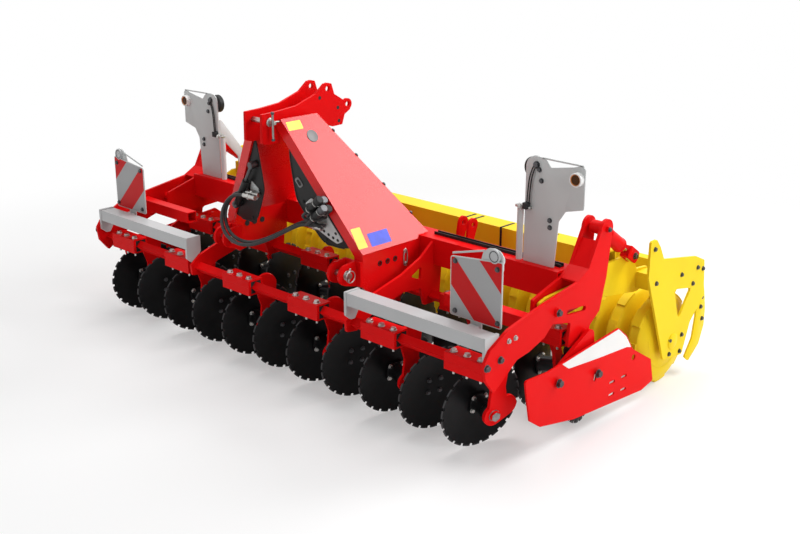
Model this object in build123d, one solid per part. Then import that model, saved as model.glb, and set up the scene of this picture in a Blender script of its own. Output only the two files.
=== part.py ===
from build123d import *
import math
import os

# Tractor-mounted disc harrow, 3 m wide, with a ring roller. Millimetres, +Z up.
# X runs across the machine, -Y is the tractor's side, and the discs and the roller stand on Z = 0.
# The layout is drawn with the front disc row at Y = 0 and moved to the middle of the machine on export.
ORIGIN_Y = 614.0
RUNNING_GAP = 0.3

# Discs
DISC_R = 205.0
DISC_T = 5.0
DISC_DEPTH = 28.0
DISC_FLAT_R = 60.0
NOTCHES = 24
NOTCH_DEPTH = 12.0
NOTCH_MOUTH = 32.0
NOTCH_FLOOR = 12.0
DISC_PITCH = 250.0
ROW_DISTANCE = 520.0
GANG_ANGLE = 13.6
DISC_TILT = 8.2

# Hubs and stub axles
FLANGE_R = 54.0
FLANGE_T = 12.0
HUB_R = 37.0
AXLE_R = 20.0
AXLE_NUT_R = 24.0
AXLE_NUT_T = 14.0
HUB_END_GAP = 5.0
HUB_WALL_END = 12.0

# Arms, clamps and toolbars
ARM_OFFSET = 90.0
ARM_T = 16.0
TOOLBAR_SIDE = 40.0
TOOLBAR_WALL = 6.0
TOOLBAR_AHEAD = 115.0
TOOLBAR_Z = 438.0
CLAMP_BORE = 62.0
CLAMP_TOP_T = 8.0
CLAMP_FRONT_WALL = 14.0
CLAMP_REAR_WALL = 10.0
CLAMP_W = 210.0
CLAMP_PAST_ARM = 45.0
RUBBER_GAP = 0.4
RUBBER_PARTING = 8.0

# Main beam and side frames
BEAM_FRONT_Y = 413.0
BEAM_SIDE = 130.0
BEAM_Z = 590.0
BEAM_WALL = 10.0
OUTER_PLATE_X = 1412.0
PLATE_T = 15.0
PLATE_PITCH = 92.0
PLATE_SLOT = (421.0, 568.0)
PLATE_SLOT_LENGTH = 140.0
PLATE_SLOT_H = 24.0
PLATE_SLOT_TURN = -5.4
PIVOT_Y = 276.0
PIVOT_Z = 598.0
PIVOT_R = 20.0
CYL_TOP_Y = 625.0
CYL_TOP_Z = 893.0
CYL_PIN_R = 14.0
CYL_EAR_R = 45.0
WEB_T = 12.0
STUB_SIDE = 60.0
STUB_WALL = 6.0
STUB_LENGTH = 462.0
STUB_Y = 120.0
STUB_Z = 585.0

# Headstock
LEG_FOLD_X = 500.0
LEG_FOLD_Z = 709.0
LEG_TOP_X = 110.0
LEG_TOP_Z = 1306.0
LEG_FRONT_LOW = 26.0
LEG_REAR_LOW = 493.0
LEG_FRONT_TOP = -111.0
LEG_REAR_TOP = 113.0
LEG_T = 12.0
LEG_FLANGE = 55.0
LEG_BOTTOM_Z = 500.0
CROWN_Z = 1235.0
CROWN_T = 15.0
LINK_PLATE_X = 52.0
LINK_PLATE_T = 15.0
TOP_PIN_Y = -140.0
TOP_PIN_Z = 1290.0
TOP_PIN_R = 12.7
REAR_BORE_R = 13.0
REAR_BORES = ((225.0, 1402.0), (355.0, 1312.0))
LOW_PIN_Y = -45.0
LOW_PIN_Z = 617.0
LOW_PIN_R = 14.35
LOW_EAR_R = 50.0
LOW_EAR_IN_X = 385.0
LOW_EAR_OUT_X = 455.0
LOW_EAR_T = 15.0
CARRIER_X = 575.0
CARRIER_T = 15.0
LUG_X = 620.0
LUG_STEP = 62.0
LUG_T = 14.0
LUG_BORE_R = 12.5

# Lights and boards
LIGHT_BAR_END_T = 14.0
LIGHT_BAR_FRONT_Y = -176.0
LIGHT_BAR_DEPTH = 80.0
LIGHT_BAR_Z = 538.0
LIGHT_BAR_H = 60.0
BOARD_T = 6.0
WARN_Y = -64.0
WARN_W = 278.0
WARN_BRACKET_IN = 113.0
WARN_BRACKET_W = 50.0
REAR_BOARD_Y = 447.0
REAR_BOARD_IN = 215.0
POST_R = 15.0
POST_GAP = 12.0
POST_TOP_Z = 965.0

# Roller and its frame
ROLLER_Y = 1150.0
ROLLER_R = 230.0
DRUM_R = 150.0
RING_PITCH = 122.0
RING_END_GAP = 6.0
RING_RIM_W = 50.0
RING_BASE_W = 90.0
CLEATS = 8
CLEAT_H = 9.0
CLEAT_ANGLE = 24.0
CLEAT_STEP = 21.2
SHAFT_R = 30.0
END_PLATE_OUT = 66.0
END_PLATE_T = 12.0
BEARING_R = 62.0
BEARING_T = 22.0
ROLL_ARM_GAP = 5.0
ROLL_ARM_T = 16.0
ROLL_BEAM_Y = 740.0
ROLL_BEAM_Z = 638.0
ROLL_BEAM_SIDE = 100.0
ROLL_BEAM_WALL = 8.0
EYE_Y = 905.0
EYE_Z = 700.0
EYE_PIN_R = 12.0
EYE_DRIFT = 3.0
EYE_R = 30.0
EYE_T = 24.0
EYE_GAP = 12.0
NECK_R = 28.0
NECK_LENGTH = 85.0
BARREL_R = 34.0
BARREL_LENGTH = 215.0
ROD_R = 13.0
SCRAPER_Y = 1345.0
SCRAPER_Z = 480.0
SCRAPER_SIDE = 60.0

# Side boards
SIDE_BOARD_OUT = 66.0
SIDE_BOARD_T = 8.0
SWING_Y = 218.0
SWING_Z = 309.0
SWING_R = 12.0
SLOT_Y = 512.0
SLOT_Z = 262.0
SLOT_R = 8.0
SWING_RANGE = 6.0
BOARD_SLOTS = ((648.0, 173.0), (744.0, 171.0), (648.0, 112.0), (744.0, 106.0))
BOARD_SLOT_LENGTH = 46.0
BOARD_SLOT_H = 14.0
BOARD_HOLE = (816.0, 245.0)
BOARD_HOLE_R = 15.0
CARRY_GAP = 16.0
CARRY_T = 16.0

# Hoses and what holds them
HOSE_R = 9.0
HOSE_STEP_Y = 23.0
HOSE_STEP_Z = 10.0
COUPLING_R = 13.0
COUPLING_L = 60.0
HOSE_LEFT_X = -185.0
HOSE_LEFT_Z = 885.0
HOSE_RIGHT_X = 275.0
HOSE_RIGHT_Z = 820.0
COVER_T = 5.0
HOLDER_T = 4.0

# Places that follow from the sizes above
DISC_Z = DISC_R * math.cos(math.radians(DISC_TILT))
INNER_PLATE_X = OUTER_PLATE_X - PLATE_PITCH
STUB_IN_X = OUTER_PLATE_X - STUB_LENGTH
LIGHT_BAR_IN_X = CARRIER_X + CARRIER_T + LIGHT_BAR_END_T
LIGHT_BAR_OUT_X = OUTER_PLATE_X - LIGHT_BAR_END_T
REAR_BOARD_X = INNER_PLATE_X - REAR_BOARD_IN
END_PLATE_X = OUTER_PLATE_X + END_PLATE_OUT
ROLL_ARM_X = INNER_PLATE_X + PLATE_T + ROLL_ARM_GAP
CYL_X = ROLL_ARM_X + ROLL_ARM_T + EYE_GAP + EYE_T / 2
SIDE_BOARD_X = OUTER_PLATE_X + SIDE_BOARD_OUT
CARRY_X = SIDE_BOARD_X - CARRY_GAP - CARRY_T
# As many discs and rings as the width takes
FRONT_DISCS = 2 * int((OUTER_PLATE_X - ARM_OFFSET - CLAMP_PAST_ARM) / DISC_PITCH) + 1
REAR_DISCS = FRONT_DISCS + 1
RING_COUNT = int((2 * (END_PLATE_X - BEARING_T - RING_END_GAP) - RING_BASE_W) / RING_PITCH) + 1
PARTS = "parts"


def block(x0, x1, y0, y1, z0, z1):
    """Box between two corners."""
    return Pos((x0 + x1) / 2, (y0 + y1) / 2, (z0 + z1) / 2) * Box(x1 - x0, y1 - y0, z1 - z0)


def rod_x(radius, x0, x1, y, z):
    """Round bar along X."""
    return Pos((x0 + x1) / 2, y, z) * Rot(0, 90, 0) * Cylinder(radius, x1 - x0)


def outline(points, radius=0.0):
    """Closed flat outline with its corners rounded."""
    face = make_face(Polyline(*points, close=True))
    return fillet(face.vertices(), radius) if radius else face


def hull(circles):
    """Flat outline drawn tightly round circles given as (u, v, radius)."""
    rings = [Pos(u, v) * Circle(radius) for u, v, radius in circles]
    return make_hull([edge for ring in rings for edge in ring.edges()])


def plate_x(face, x0, thickness):
    """Plate across X from an outline drawn in Y and Z."""
    return extrude(Plane.YZ.offset(x0) * face, thickness)


def mirrored(shape):
    """The piece and its twin on the other side of the machine."""
    return [shape, mirror(shape, about=Plane.YZ)]


def square_tube_x(x0, x1, y0, z0, depth, height, wall):
    """Rectangular tube along X, open at both ends."""
    outer = block(x0, x1, y0, y0 + depth, z0, z0 + height)
    return outer - block(x0, x1, y0 + wall, y0 + depth - wall, z0 + wall, z0 + height - wall)


def export(name, shapes):
    """Write one node, moved to the part's origin."""
    pieces = [Pos(0, -ORIGIN_Y, 0) * solid for shape in shapes for solid in shape.solids()]
    export_step(pieces[0] if len(pieces) == 1 else Compound(pieces), os.path.join(PARTS, name + ".step"))


# Disc row geometry, drawn round an arm whose foot is at the origin and whose concave discs face +X

def disc_axis():
    """Spin axis of a front disc, on its hollow side."""
    gang, tilt = math.radians(GANG_ANGLE), math.radians(DISC_TILT)
    return Vector(math.cos(gang) * math.cos(tilt), -math.sin(gang) * math.cos(tilt), -math.sin(tilt))


def disc_plane(x):
    """Plane of a disc's rim, or of the arm's plate, at a distance x from the arm."""
    gang = math.radians(GANG_ANGLE)
    return Plane(origin=(x, 0, 0), x_dir=(math.sin(gang), math.cos(gang), 0), z_dir=disc_axis())


def blade():
    """Dished blade, hollow towards +Z, rim edge on Z = 0."""
    centre_z = (DISC_R ** 2 - DISC_FLAT_R ** 2 - DISC_DEPTH ** 2) / (2 * DISC_DEPTH)
    mid_r = (DISC_FLAT_R + DISC_R) / 2
    mid_z = centre_z - math.sqrt(DISC_R ** 2 + centre_z ** 2 - mid_r ** 2)
    hollow = ThreePointArc((DISC_FLAT_R, -DISC_DEPTH), (mid_r, mid_z), (DISC_R, 0))
    back = Pos(0, -DISC_T) * hollow
    edges = [
        Line((0, -DISC_DEPTH), (DISC_FLAT_R, -DISC_DEPTH)),
        hollow,
        Line((DISC_R, 0), (DISC_R, -DISC_T)),
        back,
        Line((DISC_FLAT_R, -DISC_DEPTH - DISC_T), (0, -DISC_DEPTH - DISC_T)),
        Line((0, -DISC_DEPTH - DISC_T), (0, -DISC_DEPTH)),
    ]
    dish = revolve(Plane.XZ * make_face(edges), Axis.Z)
    floor_r = DISC_R - NOTCH_DEPTH
    mouth_r = DISC_R + NOTCH_DEPTH
    flare = NOTCH_FLOOR + 2 * (NOTCH_MOUTH - NOTCH_FLOOR)
    wedge = outline([(floor_r, -NOTCH_FLOOR / 2), (mouth_r, -flare / 2), (mouth_r, flare / 2),
                     (floor_r, NOTCH_FLOOR / 2)])
    notch = Pos(0, 0, -DISC_DEPTH - DISC_T) * extrude(wedge, 2 * (DISC_DEPTH + DISC_T))
    pitch = 360 / NOTCHES
    return dish - [Rot(0, 0, pitch * (step + 0.5)) * notch for step in range(NOTCHES)]


def arm_distance(offset):
    """Distance along the disc's axis from its rim plane to the arm's middle."""
    return offset * disc_axis().X


def hub_on_hollow_side(offset):
    """Blade with its hub on the hollow side, the arm lying beyond the hub."""
    seat = -DISC_DEPTH
    end = arm_distance(offset) - ARM_T / 2 - HUB_END_GAP
    flange = Pos(0, 0, seat + FLANGE_T / 2) * Cylinder(FLANGE_R, FLANGE_T)
    barrel = Pos(0, 0, (seat + end) / 2) * Cylinder(HUB_R, end - seat)
    bore_start = seat + HUB_WALL_END
    bore = Pos(0, 0, (bore_start + end) / 2) * Cylinder(AXLE_R + RUNNING_GAP, end - bore_start)
    return blade() + flange + barrel - bore


def hub_on_back(offset):
    """Blade with its hub on the rounded side, the arm lying beyond the hub."""
    seat = -DISC_DEPTH - DISC_T
    end = -arm_distance(offset) + ARM_T / 2 + HUB_END_GAP
    flange = Pos(0, 0, seat - FLANGE_T / 2) * Cylinder(FLANGE_R, FLANGE_T)
    barrel = Pos(0, 0, (seat + end) / 2) * Cylinder(HUB_R, seat - end)
    bore_start = seat - HUB_WALL_END
    bore = Pos(0, 0, (bore_start + end) / 2) * Cylinder(AXLE_R + RUNNING_GAP, bore_start - end)
    return blade() + flange + barrel - bore


def axle(offset, towards_back):
    """Stub axle on the arm, in the rim plane's frame of the disc that it carries."""
    arm = arm_distance(offset)
    depth = DISC_DEPTH + (DISC_T if towards_back else 0)
    tip = depth + HUB_WALL_END + RUNNING_GAP if towards_back else -depth + HUB_WALL_END + RUNNING_GAP
    far = arm + ARM_T / 2 + AXLE_NUT_T
    shaft = Pos(0, 0, (tip + far) / 2) * Cylinder(AXLE_R, far - tip)
    collar_end = arm - ARM_T / 2
    collar = Pos(0, 0, collar_end - HUB_END_GAP / 2 + 1) * Cylinder(AXLE_R + 8, HUB_END_GAP - 2)
    nut = Pos(0, 0, far - AXLE_NUT_T / 2) * Cylinder(AXLE_NUT_R, AXLE_NUT_T)
    flip = Rot(180, 0, 0) if towards_back else Rot(0, 0, 0)
    return flip * (shaft + collar + nut)


def clamp_shell(width, middle_x, upper):
    """Half of the box clamp round the toolbar; the toolbar's middle is at Y = Z = 0."""
    half_bore = CLAMP_BORE / 2
    half_height = half_bore + CLAMP_TOP_T
    x0, x1 = middle_x - width / 2, middle_x + width / 2
    low, high = (0, half_height) if upper else (-half_height, 0)
    body = block(x0, x1, -half_bore - CLAMP_FRONT_WALL, half_bore + CLAMP_REAR_WALL, low, high)
    return body - block(x0, x1, -half_bore, half_bore, -half_bore, half_bore)


def rubber(width, middle_x):
    """Four squeezed rubber cords between the toolbar's faces and the clamp's corners."""
    reach = CLAMP_BORE / 2 - RUBBER_GAP
    face = TOOLBAR_SIDE / math.sqrt(2) + RUBBER_GAP * math.sqrt(2)
    low = RUBBER_PARTING / 2
    corner = outline([(reach, low), (reach, reach), (low, reach), (low, face - low), (face - low, low)])
    cord = plate_x(corner, middle_x - width / 2, width)
    return [Rot(90 * turn, 0, 0) * cord for turn in range(4)]


def arm(with_back_disc, clamp_x):
    """Arm plate with its stub axles and the lower half of its clamp, foot at the origin."""
    toolbar = Vector(0, -TOOLBAR_AHEAD, TOOLBAR_Z - DISC_Z)
    shell = Pos(toolbar) * clamp_shell(CLAMP_W, clamp_x, upper=False)
    behind = -TOOLBAR_AHEAD + CLAMP_BORE / 2 + CLAMP_REAR_WALL
    front_foot = math.tan(math.radians(GANG_ANGLE)) * ARM_OFFSET
    drop = math.tan(math.radians(DISC_TILT)) * ARM_OFFSET
    upper = hull([(behind + 42, toolbar.Z - 6, 58), (behind + 60, toolbar.Z - 120, 36)])
    lower = hull([(behind + 60, toolbar.Z - 120, 36), (0, 0, 52)])
    foot = hull([(-front_foot, -drop, 50), (2 * front_foot, 1.5 * drop, 50)])
    plane = disc_plane(0)
    sheet = extrude(plane.offset(-ARM_T / 2) * (upper + lower + foot), ARM_T)
    sheet -= block(-CLAMP_W, CLAMP_W, -400, behind - 4, 100, 600)
    sheet -= block(-CLAMP_W, CLAMP_W, -400, behind + RUNNING_GAP, toolbar.Z, 600)
    piece = shell + sheet + disc_plane(-ARM_OFFSET).location * axle(ARM_OFFSET, towards_back=False)
    if with_back_disc:
        back_offset = DISC_PITCH - ARM_OFFSET
        piece += disc_plane(back_offset).location * axle(back_offset, towards_back=True)
    return piece


def row_pieces():
    """Exports the discs, arms, clamp caps and rubbers of both rows."""
    back_offset = DISC_PITCH - ARM_OFFSET
    hollow_disc = disc_plane(-ARM_OFFSET).location * hub_on_hollow_side(ARM_OFFSET)
    back_disc = disc_plane(back_offset).location * hub_on_back(back_offset)
    front_clamp_x = CLAMP_PAST_ARM - CLAMP_W / 2
    pair_arm = arm(True, front_clamp_x)
    single_arm = arm(False, front_clamp_x)
    rear_arm = mirror(arm(True, 0), about=Plane.YZ)
    rear_hollow = mirror(hollow_disc, about=Plane.YZ)
    rear_back = mirror(back_disc, about=Plane.YZ)
    front_arms, rear_arms, caps, rubbers = [], [], [], []

    first = -(FRONT_DISCS - 1) / 2 * DISC_PITCH
    for index in range(FRONT_DISCS):
        disc_x = first + index * DISC_PITCH
        name = "disc_front_%02d" % (index + 1)
        if index % 2:
            export(name, [Pos(disc_x - back_offset, 0, DISC_Z) * back_disc])
            continue
        arm_x = disc_x + ARM_OFFSET
        export(name, [Pos(arm_x, 0, DISC_Z) * hollow_disc])
        piece = pair_arm if index < FRONT_DISCS - 1 else single_arm
        front_arms.append(Pos(arm_x, 0, DISC_Z) * piece)
        at_bar = Pos(arm_x, -TOOLBAR_AHEAD, TOOLBAR_Z)
        caps.append(at_bar * clamp_shell(CLAMP_W, front_clamp_x, upper=True))
        rubbers += [at_bar * cord for cord in rubber(CLAMP_W, front_clamp_x)]

    first = -(REAR_DISCS - 1) / 2 * DISC_PITCH
    for index in range(REAR_DISCS):
        disc_x = first + index * DISC_PITCH
        name = "disc_rear_%02d" % (index + 1)
        if index % 2 == 0:
            export(name, [Pos(disc_x + back_offset, ROW_DISTANCE, DISC_Z) * rear_back])
            continue
        arm_x = disc_x - ARM_OFFSET
        export(name, [Pos(arm_x, ROW_DISTANCE, DISC_Z) * rear_hollow])
        rear_arms.append(Pos(arm_x, ROW_DISTANCE, DISC_Z) * rear_arm)
        at_bar = Pos(arm_x, ROW_DISTANCE - TOOLBAR_AHEAD, TOOLBAR_Z)
        caps.append(at_bar * clamp_shell(CLAMP_W, 0, upper=True))
        rubbers += [at_bar * cord for cord in rubber(CLAMP_W, 0)]

    export("disc_arms_front", front_arms)
    export("disc_arms_rear", rear_arms)
    export("clamp_caps", caps)
    export("rubber_cords", rubbers)


def toolbars():
    """Front and rear square tubes, set on edge."""
    inside = TOOLBAR_SIDE - 2 * TOOLBAR_WALL
    tube = Box(2 * OUTER_PLATE_X, TOOLBAR_SIDE, TOOLBAR_SIDE) - Box(2 * OUTER_PLATE_X, inside, inside)
    on_edge = Rot(45, 0, 0) * tube
    front_y = -TOOLBAR_AHEAD
    return [Pos(0, y, TOOLBAR_Z) * on_edge for y in (front_y, front_y + ROW_DISTANCE)]


# Main frame

def beam_block():
    """The main beam's outside, cut from what is welded to it."""
    rear, top = BEAM_FRONT_Y + BEAM_SIDE, BEAM_Z + BEAM_SIDE
    return block(-INNER_PLATE_X, INNER_PLATE_X, BEAM_FRONT_Y, rear, BEAM_Z, top)


def main_beam():
    """Square tube across the machine between the inner side plates."""
    return [square_tube_x(-INNER_PLATE_X, INNER_PLATE_X, BEAM_FRONT_Y, BEAM_Z, BEAM_SIDE, BEAM_SIDE, BEAM_WALL)]


def side_frame():
    """Twin side plates with their web, pins and the side board's carrier, on the +X side."""
    ear = (CYL_TOP_Y, CYL_TOP_Z, CYL_EAR_R)
    front_edge = [(-190, 425), (-200, 500), (-165, 550), (-50, 609), (150, 652), (420, 695), (500, 740)]
    under_edge = [(381, 521), (251, 551), (196, 504), (94, 471), (12, 459), (-60, 407), (-135, 357)]
    neck = [(CYL_TOP_Y - CYL_EAR_R, CYL_TOP_Z), (CYL_TOP_Y + CYL_EAR_R, CYL_TOP_Z), (640, 671), (599, 520)]
    leg = [(530, 470), (520, 406), (445, 402), (368, 408)]
    ear_disc = Pos(ear[0], ear[1]) * Circle(ear[2])
    outer_face = outline(front_edge + neck + leg + under_edge, 8) + ear_disc
    outer_face -= Pos(*PLATE_SLOT) * Rot(0, 0, PLATE_SLOT_TURN) * SlotOverall(PLATE_SLOT_LENGTH, PLATE_SLOT_H)
    inner_face = outline([(225, 560), (230, 640), (420, 695), (500, 740)] + neck + [(400, 505)], 8) + ear_disc
    outer = plate_x(outer_face, OUTER_PLATE_X, PLATE_T)
    inner = plate_x(inner_face, INNER_PLATE_X, PLATE_T)
    web_line = [(425, 696), (500, 740), (570, 850), (582, 843), (509, 731), (433, 685)]
    web = plate_x(outline(web_line), INNER_PLATE_X, OUTER_PLATE_X - INNER_PLATE_X)
    outer_x = OUTER_PLATE_X + PLATE_T
    pivot = rod_x(PIVOT_R, INNER_PLATE_X, outer_x + WEB_T, PIVOT_Y, PIVOT_Z)
    top_pin = rod_x(CYL_PIN_R, INNER_PLATE_X, outer_x + WEB_T, CYL_TOP_Y, CYL_TOP_Z)
    carry_face = hull([(SWING_Y, SWING_Z, 28), (SLOT_Y, SLOT_Z, 26), (485, 438, 32)])
    carry = plate_x(carry_face, CARRY_X, CARRY_T)
    spacer = rod_x(28, OUTER_PLATE_X, CARRY_X + 1, 485, 438)
    nut_end = SIDE_BOARD_X + SIDE_BOARD_T + 12
    swing_pin = rod_x(SWING_R, CARRY_X, nut_end, SWING_Y, SWING_Z)
    slot_pin = rod_x(SLOT_R, CARRY_X, nut_end, SLOT_Y, SLOT_Z)
    return outer + inner + web + pivot + top_pin + carry + spacer + swing_pin + slot_pin


def side_stubs():
    """Short square tubes on the inside of the side plates."""
    half = STUB_SIDE / 2
    return mirrored(square_tube_x(STUB_IN_X, OUTER_PLATE_X, STUB_Y - half, STUB_Z - half, STUB_SIDE, STUB_SIDE,
                                  STUB_WALL))


def toolbar_carriers():
    """Curved plates that hang both toolbars from the main beam."""
    rear_bar_y = ROW_DISTANCE - TOOLBAR_AHEAD
    face = outline(
        [(425, 716), (330, 645), (200, 590), (20, 545), (-110, 502), (-168, 458), (-162, 402), (-100, 394),
         (0, 446), (200, 500), (325, 490), (352, 398), (458, 398), (475, 600), (425, 610)], 6)
    bar_r = TOOLBAR_SIDE / math.sqrt(2) + RUNNING_GAP
    for y in (-TOOLBAR_AHEAD, rear_bar_y):
        face -= Pos(y, TOOLBAR_Z) * Rot(0, 0, 45) * Rectangle(bar_r * math.sqrt(2), bar_r * math.sqrt(2))
    face -= outline([(330, 600), (255, 565), (325, 535)], 6)
    return mirrored(plate_x(face, CARRIER_X, CARRIER_T) - beam_block())


def drill_lugs():
    """Twin lugs behind the main beam for a seed drill's link."""
    rear = BEAM_FRONT_Y + BEAM_SIDE
    face = hull([(rear + 40, 775, 32), (rear + 8, 640, 15), (rear + 8, 700, 15)])
    face -= Pos(rear + 40, 775) * Circle(LUG_BORE_R)
    lug = plate_x(face & (Pos(rear + 200, 700) * Rectangle(400, 400)), LUG_X, LUG_T)
    return mirrored(lug) + mirrored(Pos(LUG_STEP, 0, 0) * lug)


# Headstock

def leg_plane():
    """Plane of a headstock leg's sloped panel on the +X side: u along Y, v up the slope."""
    rise = Vector(LEG_TOP_X - LEG_FOLD_X, 0, LEG_TOP_Z - LEG_FOLD_Z).normalized()
    return Plane(origin=(LEG_FOLD_X, 0, LEG_FOLD_Z), x_dir=(0, 1, 0), z_dir=Vector(0, 1, 0).cross(rise))


def headstock_leg():
    """Folded leg: sloped panel, upright side panel and the flange along its front."""
    slope = math.hypot(LEG_TOP_X - LEG_FOLD_X, LEG_TOP_Z - LEG_FOLD_Z)
    corners = [(LEG_FRONT_LOW, -4), (LEG_REAR_LOW, -4), (LEG_REAR_TOP, slope), (LEG_FRONT_TOP, slope)]
    panel = extrude(leg_plane() * outline(corners), -LEG_T)
    strip = [corners[0], (LEG_FRONT_LOW + LEG_T, -4), (LEG_FRONT_TOP + LEG_T, slope), corners[3]]
    flange = extrude(leg_plane() * outline(strip), -LEG_FLANGE)
    side_face = outline([(LEG_FRONT_LOW, LEG_FOLD_Z), (LEG_FRONT_LOW, 545), (80, LEG_BOTTOM_Z),
                         (BEAM_FRONT_Y, LEG_BOTTOM_Z + 60), (BEAM_FRONT_Y, LEG_FOLD_Z)])
    for step in range(3):
        side_face -= Pos(140 + 51 * step, 640) * Circle(9.5)
    side = plate_x(side_face, LEG_FOLD_X - LEG_T, LEG_T)
    foot = block(LEG_FOLD_X - LEG_FLANGE, LEG_FOLD_X, LEG_FRONT_LOW, LEG_FRONT_LOW + LEG_T, 545, LEG_FOLD_Z)
    between_links = LINK_PLATE_X + LINK_PLATE_T + RUNNING_GAP
    room = block(0, between_links, LEG_FRONT_TOP - 50, LEG_REAR_TOP + 50, CROWN_Z + CROWN_T, LEG_TOP_Z + 50)
    return panel + flange + side + foot - beam_block() - room


def headstock():
    """Both legs, the crown between them and the strut down to the main beam."""
    leg = headstock_leg()
    run = (CROWN_Z - LEG_FOLD_Z) / (LEG_TOP_Z - LEG_FOLD_Z)
    half = LEG_FOLD_X + (LEG_TOP_X - LEG_FOLD_X) * run - LEG_T
    crown = block(-half, half, -70, 150, CROWN_Z, CROWN_Z + CROWN_T)
    beam_top = BEAM_Z + BEAM_SIDE
    strut_face = outline([(90, CROWN_Z + 2), (130, CROWN_Z + 2), (BEAM_FRONT_Y + 95, beam_top),
                          (BEAM_FRONT_Y + 45, beam_top)])
    strut = plate_x(strut_face, -45, 90)
    return [leg + mirror(leg, about=Plane.YZ) + crown + strut]


def top_link_plates():
    """Twin curved plates: the top link's clevis in front and the rear linkage ears behind."""
    crown_top = CROWN_Z + CROWN_T
    face = outline(
        [(-188, 1195), (-185, 1330), (-90, 1334), (28, 1345), (150, 1385), (205, 1428), (250, 1425),
         (268, 1372), (335, 1332), (370, 1335), (372, 1285), (335, 1265), (318, 1217), (253, 1215),
         (170, crown_top), (-78, crown_top), (-80, 1186), (-150, 1186)], 5)
    for y, z in REAR_BORES:
        face += Pos(y, z) * Circle(28)
    for y, z in REAR_BORES:
        face -= Pos(y, z) * Circle(REAR_BORE_R)
    face -= Pos(TOP_PIN_Y, TOP_PIN_Z) * Circle(TOP_PIN_R + RUNNING_GAP)
    return mirrored(plate_x(face, LINK_PLATE_X, LINK_PLATE_T))


def lower_link_brackets():
    """Twin ears for the tractor's lower links, on a base plate against the leg's foot."""
    base_y = LEG_FRONT_LOW
    ear_face = hull([(LOW_PIN_Y, LOW_PIN_Z, LOW_EAR_R), (base_y - 20, 572, 20), (base_y - 20, 652, 20)])
    ear_face -= Pos(LOW_PIN_Y, LOW_PIN_Z) * Circle(LOW_PIN_R + RUNNING_GAP)
    ears = [plate_x(ear_face, x, LOW_EAR_T) for x in (LOW_EAR_IN_X, LOW_EAR_OUT_X)]
    base = block(LOW_EAR_IN_X, LEG_FOLD_X, base_y - 15, base_y, 552, 672)
    return mirrored(ears[0] + ears[1] + base)


def hitch_pins():
    """Top link pin and the two lower link pins."""
    top_end = LINK_PLATE_X + LINK_PLATE_T + 25
    top = rod_x(TOP_PIN_R, -top_end, top_end, TOP_PIN_Y, TOP_PIN_Z)
    low = rod_x(LOW_PIN_R, LOW_EAR_IN_X - 12, LOW_EAR_OUT_X + LOW_EAR_T + 20, LOW_PIN_Y, LOW_PIN_Z)
    return [top] + mirrored(low)


def flange_plane():
    """Plane of the back of a leg's front flange: u up the leg, v inwards, facing forwards."""
    low = Vector(LEG_FOLD_X, LEG_FRONT_LOW, LEG_FOLD_Z)
    up = (Vector(LEG_TOP_X, LEG_FRONT_TOP, LEG_TOP_Z) - low).normalized()
    inwards = leg_plane().z_dir * -1
    forward = up.cross(inwards).normalized()
    return Plane(origin=low + Vector(0, LEG_T, 0), x_dir=up, z_dir=forward)


def coupling_y(x, z):
    """Y of a coupling whose inner end is welded to the front face of a holder plate."""
    plane = flange_plane()
    start = plane.origin + plane.z_dir * HOLDER_T
    across = plane.z_dir.X * (abs(x) - COUPLING_L / 2 - start.X) + plane.z_dir.Z * (z - start.Z)
    return start.Y - across / plane.z_dir.Y - COUPLING_R + 1


def inner_covers():
    """Plastic covers inside the legs, against the back of the front flange."""
    face = outline([(41, 30), (504, 30), (515, 70), (370, 181), (118, 163)], 6)
    return mirrored(extrude(flange_plane() * face, -COVER_T))


def coupling_pair(x, z):
    """Two couplings lying along X on a holder plate."""
    middle_y = coupling_y(x, z)
    starts = [(middle_y, z), (middle_y - HOSE_STEP_Y, z - HOSE_STEP_Z)]
    rods = [rod_x(COUPLING_R, x - COUPLING_L / 2, x + COUPLING_L / 2, y, height) for y, height in starts]
    return rods[0] + rods[1]


def hose_holders():
    """Holder plates with the hose couplings, in front of the covers."""
    right_face = outline([(60, 60), (250, 60), (262, 140), (190, 168), (90, 125)], 8)
    left_face = outline([(280, 115), (360, 105), (362, 178), (285, 175)], 8)
    right = extrude(flange_plane() * right_face, HOLDER_T) + coupling_pair(HOSE_RIGHT_X, HOSE_RIGHT_Z)
    left = mirror(extrude(flange_plane() * left_face, HOLDER_T), about=Plane.YZ)
    return [right, left + coupling_pair(HOSE_LEFT_X, HOSE_LEFT_Z)]


def light_bars():
    """Front light bars with end plates and the bracket of the warning board."""
    rear = LIGHT_BAR_FRONT_Y + LIGHT_BAR_DEPTH
    top = LIGHT_BAR_Z + LIGHT_BAR_H
    bar = block(LIGHT_BAR_IN_X, LIGHT_BAR_OUT_X, LIGHT_BAR_FRONT_Y, rear, LIGHT_BAR_Z, top)
    end_face = outline([(LIGHT_BAR_FRONT_Y - 4, top + 4), (LIGHT_BAR_FRONT_Y - 4, 490), (-150, 465),
                        (-125, 465), (rear + 4, 520), (rear + 4, top + 4)], 4)
    inner_end = plate_x(end_face, CARRIER_X + CARRIER_T, LIGHT_BAR_IN_X - CARRIER_X - CARRIER_T)
    outer_end = plate_x(end_face, LIGHT_BAR_OUT_X, OUTER_PLATE_X - LIGHT_BAR_OUT_X)
    bracket_x = LIGHT_BAR_OUT_X - WARN_BRACKET_IN
    bracket = block(bracket_x - WARN_BRACKET_W, bracket_x, rear, WARN_Y, LIGHT_BAR_Z + 8, top - 8)
    return mirrored(bar + inner_end + outer_end + bracket)


def warning_boards():
    """Blank warning boards behind the light bars."""
    inner = LIGHT_BAR_OUT_X - WARN_W
    face = outline([(inner, 525), (LIGHT_BAR_OUT_X, 525), (LIGHT_BAR_OUT_X, 938), (inner, 905)], 14)
    return mirrored(extrude(Plane.XZ.offset(-WARN_Y) * face, -BOARD_T))


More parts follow.
